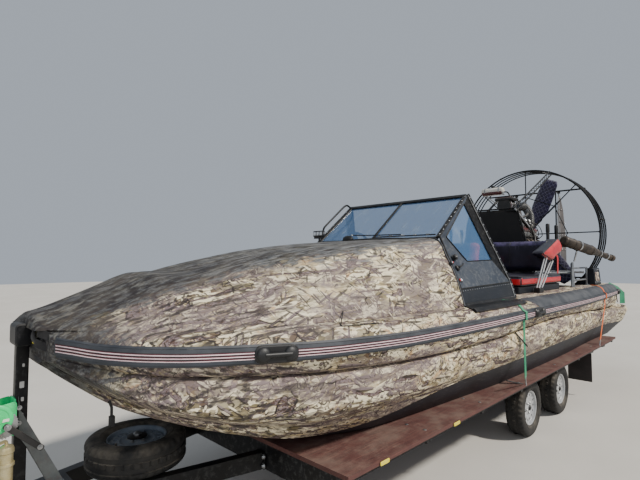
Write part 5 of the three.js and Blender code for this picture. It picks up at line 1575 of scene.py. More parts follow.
def air_intake(shape):
    """Throat, pleated filter with its lid, and the ribbed duct to it."""
    shape.turned([(0.085, 0), (0.09, 0.02), (0.072, 0.05), (0.075, 0.13), (0.09, 0.14)],
                 (aft(6.46), 0.02, 2.59), (0, 0, 1), 28, PART_ALLOY)
    pleats = [(0.0, 0.0), (0.1, 0.0), (0.11, 0.01), (0.11, 0.024)]
    pleats += [(0.103 if k % 2 else 0.108, 0.03 + 0.0095 * k) for k in range(18)]
    pleats += [(0.11, 0.206), (0.11, 0.222), (0.1, 0.232), (0.0, 0.232)]
    rim = [PART_BLACK, PART_BLACK, PART_MAROON, PART_MAROON]
    paints = rim + [PART_BLACK] * 17 + rim[::-1]
    shape.turned(pleats, (aft(6.54), 0.02, 2.745), (1, 0, 0), 40, paints)
    for d in (6.35, 6.5):
        shape.hoop((aft(d), 0.02, 2.745), (1, 0, 0), 0.112, 0.005, 8, 40, PART_STEEL)
    shape.block((aft(6.56), -0.13, 2.82), (aft(6.3), 0.16, 2.868), axis=2, corner=0.03, edge=0.012,
                paint=PART_BLACK)
    shape.block((aft(6.53), -0.1, 2.862), (aft(6.33), 0.13, 2.876), axis=2, corner=0.03, edge=0.004,
                paint=PART_MAROON)
    duct = curve([(aft(6.62), 0.1, 2.74), (aft(6.8), 0.16, 2.74), (aft(6.9), 0.2, 2.6),
                  (aft(6.9), 0.2, 2.42)], 9)
    shape.tube(duct, 0.062, 20, paint=PART_BLACK)
    for a, b in zip(duct[2:-1], duct[3:]):
        shape.hoop(a, b - a, 0.063, 0.003, 6, 24, PART_ALLOY)


def belt_drive(shape):
    """Pulleys with their belt, the generator, and the starter, filter and bottle low on the block."""
    pulleys = [(0, 1.88, 0.11), (-0.33, 2.0, 0.055), (0, 2.3, 0.09), (0.19, 2.12, 0.055)]
    for y, z, radius in pulleys:
        rims = [(0.0, 0.0), (radius, 0.0), (radius, 0.008), (radius - 0.012, 0.016), (radius, 0.026),
                (radius, 0.034), (radius * 0.8, 0.036), (radius * 0.75, 0.028), (radius * 0.35, 0.028),
                (radius * 0.33, 0.045), (0.0, 0.046)]
        shape.turned(rims, (aft(6.19), y, z), (1, 0, 0), 32, PART_STEEL)
        for across, up in around(5, radius * 0.55):
            shape.stud((aft(6.162), y + across, z + up), (1, 0, 0), radius * 0.12, 0.003, PART_BLACK, 10)
    belt = [Vector((aft(6.173), y, z)) for y, z in support(pulleys)]
    out = [Vector((0, p.y + 0.03, p.z - 2.07)).normalized() for p in belt]
    shape.strap(belt + belt[:2], out + out[:2], 0.02, 0.006, PART_BLACK)
    body = [(0, 0), (0.06, 0), (0.082, 0.016), (0.085, 0.03), (0.085, 0.1), (0.078, 0.105), (0.078, 0.12),
            (0.085, 0.125), (0.085, 0.2), (0.07, 0.235), (0.03, 0.25), (0, 0.25)]
    shape.turned(body, (aft(6.49), -0.33, 2.0), (1, 0, 0), 28, PART_ALLOY)
    for across, up in around(14, 0.076):
        shape.block_at((aft(6.30), -0.33 + across, 2.0 + up), (0.02, 0.005, 0.005), PART_BLACK)
    starter = [(0, 0), (0.05, 0), (0.063, 0.014), (0.065, 0.3), (0.05, 0.33), (0.036, 0.335), (0.036, 0.39),
               (0, 0.39)]
    shape.turned(starter, (aft(6.895), 0.3, 1.9), (1, 0, 0), 28, PART_BLACK)
    shape.turned([(0, 0), (0.03, 0), (0.033, 0.01), (0.033, 0.14), (0, 0.15)], (aft(6.75), 0.33, 1.98),
                 (1, 0, 0), 20, PART_STEEL)
    shape.turned([(0, 0), (0.045, 0), (0.047, 0.01), (0.047, 0.09), (0.03, 0.11), (0, 0.112)],
                 (aft(6.35), 0.24, 1.86), (0, 1, -0.2), 24, PART_WHITE)


def hoses(shape):
    for points, radius in HOSES:
        line = curve([(aft(d), y, z) for d, y, z in points], 7)
        shape.tube(line, radius, 12, paint=PART_BLACK)
        clamp = [(radius * 1.12, 0), (radius * 1.2, 0.002), (radius * 1.2, 0.01), (radius * 1.12, 0.012)]
        for a, b in ((line[1], line[2]), (line[-2], line[-3])):
            shape.turned(clamp, a, b - a, 18, PART_STEEL)


def engine_guard_cloth():
    """Black mesh cloth laced to its own tube frame between the bench and the engine."""
    x = aft(5.966)
    outline = [(-0.6, 0.9303), (0.6, 0.9303), (0.6, 1.6), (0.35, 2.65), (-0.35, 2.65), (-0.6, 1.6)]
    bars = Shape()
    ring = rounded([(x, y, z) for y, z in outline], 0.06)
    bars.tube(ring[1:] + ring[:2], 0.012, 12)
    for (y, z), (y2, z2) in zip(outline[1:3] + outline[4:6], outline[2:4] + [outline[5], outline[0]]):
        for k in range(1, 6):
            place = (x + 0.012, y + (y2 - y) * k / 6, z + (z2 - z) * k / 6)
            bars.hoop(place, (0, 0.3, 1), 0.016, 0.0028, 6, 14)
    bars.tube([(x, -0.59, 1.6), (x, 0.59, 1.6)], 0.01, 10)
    bars.done("engine_screen_frame", [BLACK], slot="black_paint")
    cloth = Shape()
    rows = []
    for i in range(40):
        z = 0.945 + (2.635 - 0.945) * i / 39
        half = 0.585 if z < 1.6 else 0.585 - 0.25 * (z - 1.6) / 1.05
        row = []
        for j in range(21):
            belly = 0.012 * math.sin(math.pi * i / 39) * math.sin(math.pi * j / 20)
            ripple = 0.0025 * noise(Vector((j * 0.5, i * 0.3, 2)))
            row.append((aft(5.968) - belly + ripple, half * (j / 10 - 1), z))
        rows.append(row)
    cloth.loft(rows, closed=False)
    cloth = cloth.done("engine_screen_cloth", [MESH_CLOTH], stands_for=["engine_screen"],
                       slot="black_plastic")
    thicken(cloth, 0.0015)


def engine_bed():
    """Engine frame with its skids and mounts."""
    shape = Shape()
    for side in (-1, 1):
        y = side * 0.3
        shape.tube([(aft(6.06), y, 1.7), (aft(7.2), y, 1.7)], 0.018, 14)
        skid = side * 0.43
        shape.block((aft(7.7), skid - 0.035, SOLE_TOP), (aft(6.02), skid + 0.035, 0.99), axis=0,
                    corner=0.012)
        for x in (aft(6.08), aft(7.18)):
            shape.tube([(x, y, 1.7), (x, skid, 0.96)], 0.018, 14)
            shape.block((x - 0.06, skid - 0.05, 0.985), (x + 0.06, skid + 0.05, 0.995), corner=0.01)
        shape.tube([(aft(6.1), y, 1.68), (aft(7.15), side * 0.42, 1.0)], 0.014, 12)
    for d, end in ((6.4, 0.72), (7.18, 0.888)):
        shape.tube([(aft(d), -end, 1.7), (aft(d), end, 1.7)], 0.018, 14)
    rubber = [(0, 0), (0.03, 0), (0.034, 0.01), (0.034, 0.02), (0.03, 0.03), (0, 0.03)]
    for x in (aft(6.2), aft(6.9)):
        for side in (-1, 1):
            y = side * 0.28
            shape.block((x - 0.05, y - 0.05, 1.7), (x + 0.05, y + 0.05, 1.722), corner=0.01)
            shape.turned(rubber, (x, side * 0.3, 1.66), (0, 0, 1), 20)
    shape.done("engine_bed", [GREY_PAINT], stands_for=["engine_frame"], slot="bare_steel")


def bay_rails():
    """Rails, posts and stays on both sides of the engine."""
    rail = Shape()
    front, rear, y = 6.55, 7.27, 0.9
    flare = [(0.075, TUBE_TOP), (0.03, 1.86), (-0.03, 1.86), (-0.075, TUBE_TOP)]
    outline = [(aft(front) + x, y - 0.008, z) for x, z in flare]
    rail.panel(outline, (0, 0.016, 0), corner=0.02, edge=0.002, paint=2)
    rail.tube([(aft(front), y - 0.014, 1.51), (aft(front), y - 0.014, 1.84)], 0.012, 12, paint=2)
    rail.tube([(aft(rear), y, TUBE_TOP), (aft(rear), y, 1.78)], 0.014, 14, paint=2)
    for d in (front, rear):
        rail.turned([(0, 0), (0.04, 0), (0.04, 0.006), (0.02, 0.012), (0, 0.012)], (aft(d), y, 1.4985),
                    (0, 0, 1), 20, 2)
    for z in (1.77, 1.59):
        rail.tube([(aft(front - 0.017), y, z), (aft(rear + 0.017), y, z)], 0.013, 16, paint=2)
    rail.tube([(aft(6.03), 0.74, 1.7), (aft(6.4), 0.74, 1.7), (aft(front), y, 1.7)], 0.013, 14, bend=0.08,
              paint=2)
    for d in (6.03, 6.4):
        rail.tube([(aft(d), 0.74, 1.685), (aft(d), 0.74, 2.29)], 0.022, 18, paint=1)
        rail.turned([(0.024, 0), (0.026, 0.004), (0.026, 0.11), (0.02, 0.122), (0, 0.124)],
                    (aft(d), 0.74, 2.276), (0, 0, 1), 20, 1)
        rail.turned([(0.022, 0), (0.03, 0.004), (0.03, 0.03), (0.022, 0.034)], (aft(d), 0.74, 1.69),
                    (0, 0, 1), 20)
    for upper, lower in (((-1.417, 1.911), (-1.122, 1.548)), ((-1.639, 1.874), (-1.207, 1.545))):
        for y2 in (0.955, 0.982):
            rail.tube([(upper[0], y2, upper[1]), (lower[0], y2, lower[1])], 0.0085, 10)
        rail.bolt(((upper[0] + lower[0]) / 2, 0.99, (upper[1] + lower[1]) / 2), (0, 1, 0), 0.008, 1)
    rail.block((-1.235, 0.935, 1.497), (-1.095, 1.0, 1.56), axis=1, corner=0.02, edge=0.003, paint=1)
    both_sides(rail, "bay_rail", [GREY_PAINT, PLASTIC, BAY_PAINT], stands_for=["side_rail"],
               slot="bare_steel")


def bolsters():
    """Red padded arms beside the engine, with the strap that hangs from each."""
    arms = Shape()
    arms.panel([(x, 0.84, z) for x, z in ROLL_END], (0, 0.16, 0), corner=0.035, edge=0.012)
    arm = arms.done("arm_bolster_port", [RED_VINYL, VINYL], slot="upholstery")
    blow_up(arm, 0.016, 0.012)
    face = Vector((-0.331, 0, -0.944))
    paint_by(arm, lambda p: 0 if (p - Vector((-1.262, 0, 1.968))).dot(face) > 0.012 and p.y > 0.97 else 1)
    seams = Shape()
    piping(seams, arm, (0, 0.985, 0), (0, 1, 0), 0.006)
    hang = [Vector((-1.74, 1.0, 1.95)), Vector((-1.745, 1.008, 1.9)), Vector((-1.765, 1.0, 1.8)),
            Vector((-1.781, 0.995, 1.719))]
    line = curve(hang, 5)
    seams.strap(line, [Vector((0.2, 1, 0))] * len(line), 0.032, 0.003, 1)
    both_sides(seams, "arm_piping", [PLASTIC, RED_VINYL], slot="upholstery")
    for pad in (arm, mirror_piece(arm, "arm_bolster_starboard")):
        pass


def exhaust():
    shape = Shape()
    root, inlet = Vector((aft(6.7), 0.335, 2.11)), Vector((aft(6.62), 0.92, 2.105))
    front, end = Vector((aft(6.33), 0.85, 2.168)), Vector((aft(6.95), 1.065, 2.025))
    tail = Vector((aft(7.42), 1.222, 1.918))
    shape.tube(curve([root, root.lerp(inlet, 0.45) + Vector((0, 0, 0.02)), inlet], 6), 0.036, 20)
    axis = end - front
    length = axis.length
    body = [(0, 0), (0.05, 0), (0.066, 0.012), (0.072, 0.03), (0.072, length - 0.03), (0.068, length),
            (0.058, length + 0.03), (0.054, length + 0.1), (0.042, length + 0.13), (0.042, length + 0.16)]
    shape.turned(body, front, axis, 36)
    for place in (0.04, 0.2, length - 0.06):
        shape.hoop(front + axis.normalized() * place, axis, 0.0725, 0.004, 8, 36)
    line = [front + axis.normalized() * (length + 0.12), end.lerp(tail, 0.5), tail]
    shape.tube(line, 0.042, 24, shape=lambda part: 1 - 0.05 * part)
    pipe_end = [(0.042, -0.05), (0.05, -0.05), (0.05, 0.006), (0.046, 0.006), (0.038, -0.1), (0, -0.1)]
    shape.turned(pipe_end, tail, tail - end, 28)
    for k in (0.35, 0.7):
        place = end.lerp(tail, k)
        shape.turned(collar(0.042, 0.047, -0.012, 0.012), place, tail - end, 28, 1)
        shape.bolt(place + Vector((0, 0.028, 0.036)), (0, 0.6, 0.8), 0.007, 1)
    middle = front.lerp(end, 0.5)
    shape.tube([middle, (aft(6.64), 0.9, 1.866)], 0.012, 12, paint=1)
    shape.turned(collar(0.072, 0.078, -0.014, 0.014), middle, axis, 36, 1)
    shape.done("exhaust_silencer", [SILENCER, STEEL], stands_for=["exhaust"], slot="bare_steel")


def header_tank():
    shape = Shape()
    place = Vector((aft(6.96), -0.62, 3.08))
    shell = [(0, 0), (0.045, 0.002), (0.062, 0.018), (0.066, 0.036), (0.066, 0.344), (0.062, 0.362),
             (0.045, 0.378), (0, 0.38)]
    shape.turned(shell, place, (0, 1, 0), 36)
    base = [(-0.066, -0.002), (-0.066, -0.045), (-0.04, -0.064), (0.04, -0.064), (0.066, -0.045),
            (0.066, -0.002)]
    shape.panel([(place.x + x, -0.602, place.z + z) for x, z in base], (0, 0.344, 0), corner=0.014,
                edge=0.008, paint=1)
    for y in (-0.55, -0.31):
        shape.turned(collar(0.0665, 0.0695, -0.01, 0.01), (place.x, y, place.z), (0, 1, 0), 36, 2)
    cap = [(0, 0), (0.024, 0), (0.024, 0.012), (0.03, 0.014), (0.03, 0.034), (0.024, 0.04), (0, 0.041)]
    shape.turned(cap, (place.x, -0.43, place.z + 0.062), (0, 0, 1), 24, 3)
    stem = [(aft(6.56), -0.1, 2.96), (aft(6.62), -0.1, 2.96), (aft(6.95), -0.25, 3.06)]
    shape.tube(stem, 0.011, 12, bend=0.04, paint=2)
    shape.tube([(aft(6.96), -0.56, 3.03), (aft(7.0), -0.5, 2.96), (aft(7.29), -0.42, 2.84)], 0.009, 10,
               bend=0.04, paint=2)
    hose = curve([(aft(6.96), -0.26, 3.06), (aft(6.9), -0.14, 3.02), (aft(6.8), -0.04, 2.8),
                  (aft(6.78), 0.0, 2.6)], 7)
    shape.tube(hose, 0.012, 12, paint=3)
    shape.done("header_tank_shell", [WHITE, MAROON, STEEL, PLASTIC], stands_for=["header_tank"],
               slot="white_plastic")


def drive():
    shape = Shape()
    shape.block((aft(7.06), -0.135, 1.83), (aft(6.9503), 0.135, 2.42), axis=0, corner=0.05, edge=0.012)
    barrel = [(0.055, 0), (0.12, 0.0), (0.12, 0.014), (0.094, 0.024), (0.09, 0.06), (0.09, 0.25),
              (0.084, 0.262), (0.0252, 0.262), (0.0252, 0.25)]
    shape.turned(barrel, (aft(7.06), 0, 2.33), (-1, 0, 0), 40)
    for across, up in around(6, 0.105):
        shape.bolt((aft(7.074), across, 2.33 + up), (-1, 0, 0), 0.008, 1)
    for side in (-1, 1):
        for z in (1.87, 2.0, 2.13):
            shape.bolt((aft(7.06), side * 0.11, z), (-1, 0, 0), 0.01, 1)
    shape.turned(collar(0.0246, 0.07, 0, 0.05), (aft(7.0), 0, 1.95), (-1, 0, 0), 28)
    shape.done("drive_case", [ALLOY, STEEL], stands_for=["drive_housing"], slot="engine_alloy")


# Propeller, guard and rudders
HUB = Vector((aft(7.46), 0, 2.33))
GUARD_RADIUS = 1.1
HOOPS = (7.3, 7.42, 7.54, 7.66)


def on_guard(d, degrees, radius=GUARD_RADIUS):
    angle = math.radians(degrees)
    return Vector((aft(d), radius * math.cos(angle), HUB.z + radius * math.sin(angle)))


def guard_face():
    shape = Shape()
    front = HOOPS[0]
    shape.hoop((aft(front), 0, HUB.z), (1, 0, 0), GUARD_RADIUS, 0.0135, 10, 120)
    for k in range(8):
        degrees = 45 * k
        shape.tube([on_guard(front, degrees, 0.1), on_guard(front, degrees)], 0.009, 10)
        shape.tube([on_guard(front, degrees, 0.64), on_guard(front, degrees + 45, 0.64)], 0.007, 10)
        shape.ball(on_guard(front, degrees, 0.64), 0.013, sides=12)
        shape.ball(on_guard(front, degrees, GUARD_RADIUS - 0.006), 0.018, sides=12)
        shape.ball(on_guard(front, degrees + 22.5, GUARD_RADIUS), 0.0165, (1.4, 1, 1), 12)
    shape.turned(collar(0.0912, 0.116, -0.012, 0.012), (aft(front), 0, HUB.z), (1, 0, 0), 48, loop=True)
    wrapped = [on_guard(front, 45, r / 100) for r in range(48, 76, 2)]
    for k, (a, b) in enumerate(zip(wrapped, wrapped[1:])):
        shape.tube([a, b], 0.0145, 12, paint=1 + k % 2)
    lattice = [Vector((aft(5.98), 0.3, 2.62)), on_guard(front, 68)]
    across = (lattice[1] - lattice[0]).cross(Vector((1, 0.4, -0.18))).normalized() * 0.028
    for side in (-1, 1):
        shape.tube([p + across * side for p in lattice], 0.011, 12)
    for k in range(34):
        step = across * (1 if k % 2 else -1)
        a = lattice[0].lerp(lattice[1], k / 34) + step
        b = lattice[0].lerp(lattice[1], (k + 1) / 34) - step
        shape.tube([a, b], 0.0045, 6, paint=2)
    shape.tube([(aft(5.93), 0.32, 2.62), (aft(6.82), 0.32, 2.24)], 0.019, 14)
    shape.tube([(aft(5.915), 0.342, 2.632), (aft(6.805), 0.342, 2.252)], 0.011, 10, paint=3)
    shape.tube([(aft(5.99), 0.22, 2.6), (aft(6.82), 0.22, 2.22)], 0.009, 10, paint=3)
    for d, z in ((5.96, 2.61), (6.82, 2.23)):
        shape.tube([(aft(d), 0.2, z), (aft(d), 0.34, z)], 0.012, 10)
    shape.done("guard_face", [BLACK, DARK_PANEL, PANEL, GREY_PAINT], stands_for=["guard_front"],
               slot="black_paint")


def guard_barrel():
    barrel = Shape()
    for d in HOOPS[1:]:
        arc = [on_guard(d, -90 + 180 * k / 72) for k in range(73)]
        barrel.tube(arc, 0.0105, 10)
        barrel.turned(collar(0.0125, 0.0155, -0.02, 0.02), on_guard(d, 76), (0, 1, -0.25), 12, 1)
    for degrees in (-79, -34, 11, 56):
        barrel.tube([on_guard(HOOPS[0] + 0.012, degrees), on_guard(HOOPS[3], degrees)], 0.009, 10)
        for d in HOOPS[1:]:
            barrel.ball(on_guard(d, degrees), 0.017, sides=10)
    foot = [(0.79, 1.4983), (1.01, 1.4983), (0.985, 1.765), (0.9, 1.765)]
    barrel.panel([(aft(7.68), y, z) for y, z in foot], (0.36, 0, 0), corner=0.02, edge=0.006, paint=2)
    for k in range(4):
        barrel.bolt((aft(7.36 + 0.09 * k), 0.998, 1.54), (0, 1, 0.08), 0.012, 1)
        barrel.bolt((aft(7.36 + 0.09 * k), 0.986, 1.73), (0, 1, 0.08), 0.009, 1)
    corners = ((7.36, 1.009, 1.56), (7.56, 1.009, 1.56), (7.56, 0.994, 1.70), (7.36, 0.994, 1.70))
    patch = [(aft(d), y, z) for d, y, z in corners]
    barrel.panel(patch, (0, 0.004, 0.0004), corner=0.02, edge=0.001, paint=3)
    both_sides(barrel, "guard_ring", [BLACK, STEEL, DARK_PANEL, CAMO], stands_for=["guard_barrel"],
               slot="black_paint")


RUDDER_HINGE = 7.85
RUDDER_SIDE = 0.36
RUDDER_BARS = (1.6, 3.08)


def rudder_frame():
    shape = Shape()
    d = 7.684
    for z in RUDDER_BARS:
        half = math.sqrt(GUARD_RADIUS ** 2 - (z - HUB.z) ** 2)
        shape.tube([(aft(d), -half, z), (aft(d), half, z)], 0.014, 14)
        for side in (-1, 1):
            y = side * RUDDER_SIDE
            shape.tube([(aft(d), y, z), (aft(7.828), y, z)], 0.013, 14)
            bush = [(0.0126, -0.02), (0.025, -0.02), (0.027, -0.014), (0.027, 0.014), (0.025, 0.02),
                    (0.0126, 0.02)]
            shape.turned(bush, (aft(RUDDER_HINGE), y, z), (0, 0, 1), 28, loop=True)
            shape.ball((aft(d), side * half, z), 0.02, sides=14)
    for y in (-RUDDER_SIDE, RUDDER_SIDE):
        shape.tube([(aft(d), y, z) for z in RUDDER_BARS], 0.011, 14)
    shape.done("rudder_bars", [BLACK], stands_for=["rudder_frame"], slot="black_paint")


def rudders():
    shape = Shape()
    outline = [(7.775, 1.66), (7.775, 2.76), (7.84, 3.01), (7.9, 3.03), (8.06, 2.78), (8.18, 2.3),
               (8.18, 1.76), (8.1, 1.66)]
    ring = rounded([(aft(d), 0.355, z) for d, z in outline], 0.06)
    rim = [p + Vector((0, 0.005, 0)) for p in ring]
    shape.panel(ring, (0, 0.01, 0), edge=0.002)
    shape.tube(rim + rim[:1], 0.0095, 10, paint=1)
    for z in (1.84, 2.08, 2.32, 2.56, 2.78):
        back = 8.18 if z < 2.31 else 8.18 - (z - 2.3) * 0.25 if z < 2.79 else 8.06
        for y in (0.3655, 0.3475):
            shape.block((aft(back - 0.02), y, z - 0.012), (aft(7.79), y + 0.007, z + 0.012), axis=0,
                        corner=0.003, edge=0.001)
        for d in (7.8, 7.95, 8.1):
            shape.stud((aft(d), 0.373, z), (0, 1, 0), 0.006, 0.004, 1)
    hinge = (aft(RUDDER_HINGE), RUDDER_SIDE, 0)
    shape.turned(collar(0, 0.012, 1.582, 3.098), hinge, (0, 0, 1), 20, 1)
    shape.turned(collar(0.0122, 0.02, 1.6203, 1.6643), hinge, (0, 0, 1), 20, 1)
    shape.block((aft(7.862), 0.36, 1.70), (aft(7.838), 0.44, 1.71), axis=2, corner=0.008, paint=1)
    both_sides(shape, "rudder_blade", [FIN, STEEL], body="air_rudder", stands_for=["rudder"],
               slot="bare_steel")


BLADE = [(0.06, 0.09, 0.08), (0.17, 0.12, 0.084), (0.3, 0.24, 0.076), (0.52, 0.33, 0.066),
         (0.9, 0.3, 0.054), (1.01, 0.23, 0.036)]
BLADE_PITCH = math.radians(10)


def propeller():
    hub = Shape()
    rims = [(0.03, -0.075), (0.085, -0.075), (0.092, -0.066), (0.092, -0.02), (0.08, -0.012), (0.08, 0.012),
            (0.092, 0.02), (0.092, 0.066), (0.085, 0.075), (0.03, 0.075)]
    hub.turned(rims, HUB, (1, 0, 0), 48)
    hub.turned([(0, 0), (0.04, 0), (0.04, 0.03), (0.034, 0.055), (0.02, 0.06), (0, 0.06)],
               HUB - Vector((0.07, 0, 0)), (-1, 0, 0), 32, 1)
    hub.turned(collar(0, 0.024, 0, 0.4), HUB, (1, 0, 0), 28, 1)
    for across, up in around(6, 0.062):
        for end in (1, -1):
            hub.bolt(HUB + Vector((end * 0.075, across, up)), (end, 0, 0), 0.009, 1)
    hub.done("propeller_hub", [PLASTIC, STEEL], body="air_propeller", stands_for=["propeller"],
             slot="black_plastic")
    base = sleeve()
    for number, degrees in enumerate((21.7, 141.7, 261.7)):
        angle = math.radians(degrees)
        side, out = math.cos(angle), math.sin(angle)
        mesh = base.copy()
        mesh.transform(frame_at(HUB, (0, side, -out), (-1, 0, 0), (0, out, side)))
        piece = placed(f"blade_sleeve_{number + 1}", mesh)
        subdivide(piece)
        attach(piece, "air_propeller")


def sleeve():
    """Mesh of one quilted blade sleeve, standing on the hub's centre along Z, gathered in its lower third."""
    shape = Shape()
    rings = []
    for r in stations(0.075, 1.005, 0.028):
        width, thick = eased(BLADE, r)
        end = min(1, (1.012 - r) / 0.04)
        width *= 0.9 + 0.1 * math.sqrt(max(0, end))
        thick = max(0.012, thick * 0.95 * math.sqrt(max(0.05, end)))
        gather = max(0, 1 - abs(r - 0.2) / 0.2)
        ring = []
        for k in range(32):
            a = 2 * math.pi * k / 32
            u = math.copysign(abs(math.cos(a)) ** 0.75, math.cos(a)) * width / 2
            v = math.sin(a) * thick / 2
            pleat = 1 + 0.1 * gather * math.sin(7 * a + 2 * noise(Vector((r * 4, 0, 3))))
            pinch = 1 - 0.22 * max(0, 1 - abs(r - 0.16) / 0.035) - 0.12 * max(0, 1 - abs(r - 0.33) / 0.03)
            u, v = u * pleat * pinch, v * pleat * pinch
            side = u * math.cos(BLADE_PITCH) - v * math.sin(BLADE_PITCH)
            deep = u * math.sin(BLADE_PITCH) + v * math.cos(BLADE_PITCH)
            ring.append((side, -deep, r))
        rings.append(ring)
    shape.loft(rings)
    draft = shape.done("sleeve_draft", [QUILT], body="air_propeller")
    blow_up(draft, 0.014, 0.009)
    mesh = draft.data.copy()
    layer = mesh.uv_layers.new(name="UVMap") if not mesh.uv_layers else mesh.uv_layers[0]
    flat = []
    for loop in mesh.loops:
        p = mesh.vertices[loop.vertex_index].co
        flat += [p.z, p.x * math.cos(BLADE_PITCH) - p.y * math.sin(BLADE_PITCH)]
    layer.data.foreach_set("uv", flat)
    bpy.data.objects.remove(draft)
    return mesh


# Trailer
def pierced_ring(shape, inner, outer, front, back, holes, size):
    """A flat ring about Z with round holes through it."""
    sector = 2 * math.pi / holes
    for k in range(holes):
        middle = k * sector
        path = []
        for radius, turn in ((inner, 1), (outer, -1)):
            path += [(radius, middle - turn * sector / 2 + turn * sector * i / 8) for i in range(9)]
        centre = (inner + outer) / 2
        spot = Vector((centre * math.cos(middle), centre * math.sin(middle)))
        outline = [Vector((r * math.cos(a), r * math.sin(a))) for r, a in path]
        hole = [spot + (p - spot).normalized() * size for p in outline]
        rings = []
        for points, z in ((outline, front), (hole, front), (hole, back), (outline, back)):
            rings.append([(p.x, p.y, z) for p in points])
        shape.loft(rings, caps=False)


RIM = [(0.0, 0.058), (0.026, 0.06), (0.034, 0.056), (0.075, 0.042), (0.096, 0.046), (0.104, 0.05)]
RIM_OUTER = [(0.154, 0.05), (0.16, 0.044), (0.165, 0.044), (0.168, 0.068), (0.176, 0.072), (0.178, 0.066),
             (0.172, 0.05), (0.162, 0.03), (0.16, -0.03), (0.172, -0.05), (0.178, -0.066)]
TYRE = [(0.1784, -0.066), (0.19, -0.08), (0.205, -0.088), (0.222, -0.0895), (0.245, -0.092),
        (0.262, -0.0895), (0.28, -0.084), (0.291, -0.074), (0.2972, -0.062), (0.298, -0.048),
        (0.298, -0.044), (0.298, -0.017), (0.298, -0.013), (0.298, 0.013), (0.298, 0.017), (0.298, 0.044),
        (0.298, 0.048), (0.2972, 0.062), (0.291, 0.074), (0.28, 0.084), (0.262, 0.0895), (0.245, 0.092),
        (0.222, 0.0895), (0.205, 0.088), (0.19, 0.08), (0.1784, 0.066)]
GROOVES = (10, 11, 14, 15)
SHOULDERS = (7, 8, 17, 18)
MIDDLE_RIB = (12, 13)


def tyre(shape):
    """Tyre about Z with three grooves round it, slots across its shoulders, and ribs on its walls."""
    rings = []
    for k, (across, up) in enumerate(around(144, 1)):
        cut = SHOULDERS if k % 4 == 0 else MIDDLE_RIB if k % 4 == 2 else ()
        ring = []
        for number, (radius, along) in enumerate(TYRE):
            radius -= 0.008 if number in GROOVES else 0.009 if number in cut else 0
            ring.append((radius * across, radius * up, along))
        rings.append(ring)
    rings.append(rings[0])
    shape.loft(rings, closed=False)
    for radius in (0.215, 0.255):
        for side in (-1, 1):
            shape.hoop((0, 0, side * 0.0895), (0, 0, 1), radius, 0.0018, 6, 72)
    shape.tube([(0.15, 0, 0.047), (0.157, 0, 0.074)], 0.006, 10)


def road_wheel(name, base, body, rim_nodes, tyre_nodes, rim_finish):
    rim, rubber = Shape(), Shape()
    rim.base = base
    rubber.base = base
    rim.turned(RIM, (0, 0, 0), (0, 0, 1), 60)
    pierced_ring(rim, 0.104, 0.154, 0.05, 0.044, 14, 0.0145)
    rim.turned(RIM_OUTER, (0, 0, 0), (0, 0, 1), 60)
    rim.turned([(0.16, -0.03), (0.118, -0.04), (0.03, -0.04), (0.026, 0.02), (0.0, 0.02)], (0, 0, 0),
               (0, 0, 1), 40)
    for across, up in around(5, 0.054, math.pi / 10):
        rim.bolt((across, up, 0.05), (0, 0, 1), 0.0095, 1)
    rim.turned([(0.0, 0.074), (0.02, 0.073), (0.027, 0.066), (0.029, 0.056)], (0, 0, 0), (0, 0, 1), 32, 2)
    tyre(rubber)
    rim.done(f"{name}_rim", [rim_finish, STEEL, PLASTIC], body=body, stands_for=rim_nodes,
             slot="rim_silver")
    rubber.done(f"{name}_tyre", [RUBBER], body=body, stands_for=tyre_nodes, slot="tyre_rubber")


def wheels():
    for hand, x in (("front", -0.615), ("rear", -1.625)):
        for side, sign in SIDES:
            turn = Matrix.Rotation(-sign * math.pi / 2, 4, "X")
            base = Matrix.Translation((x, sign * 0.9675, 0.298)) @ turn
            road_wheel(f"wheel_{hand}_{side}", base, f"wheel_{hand}_{side}", [f"rim_{hand}_{side}"],
                       [f"tyre_{hand}_{side}"], SILVER)
    base = Matrix.Translation((3.2, 0, 0.7003)) @ Matrix.Rotation(0.3, 4, "Z")
    road_wheel("spare", base, CRAFT, [], ["spare_wheel"], BLUE_GREY)


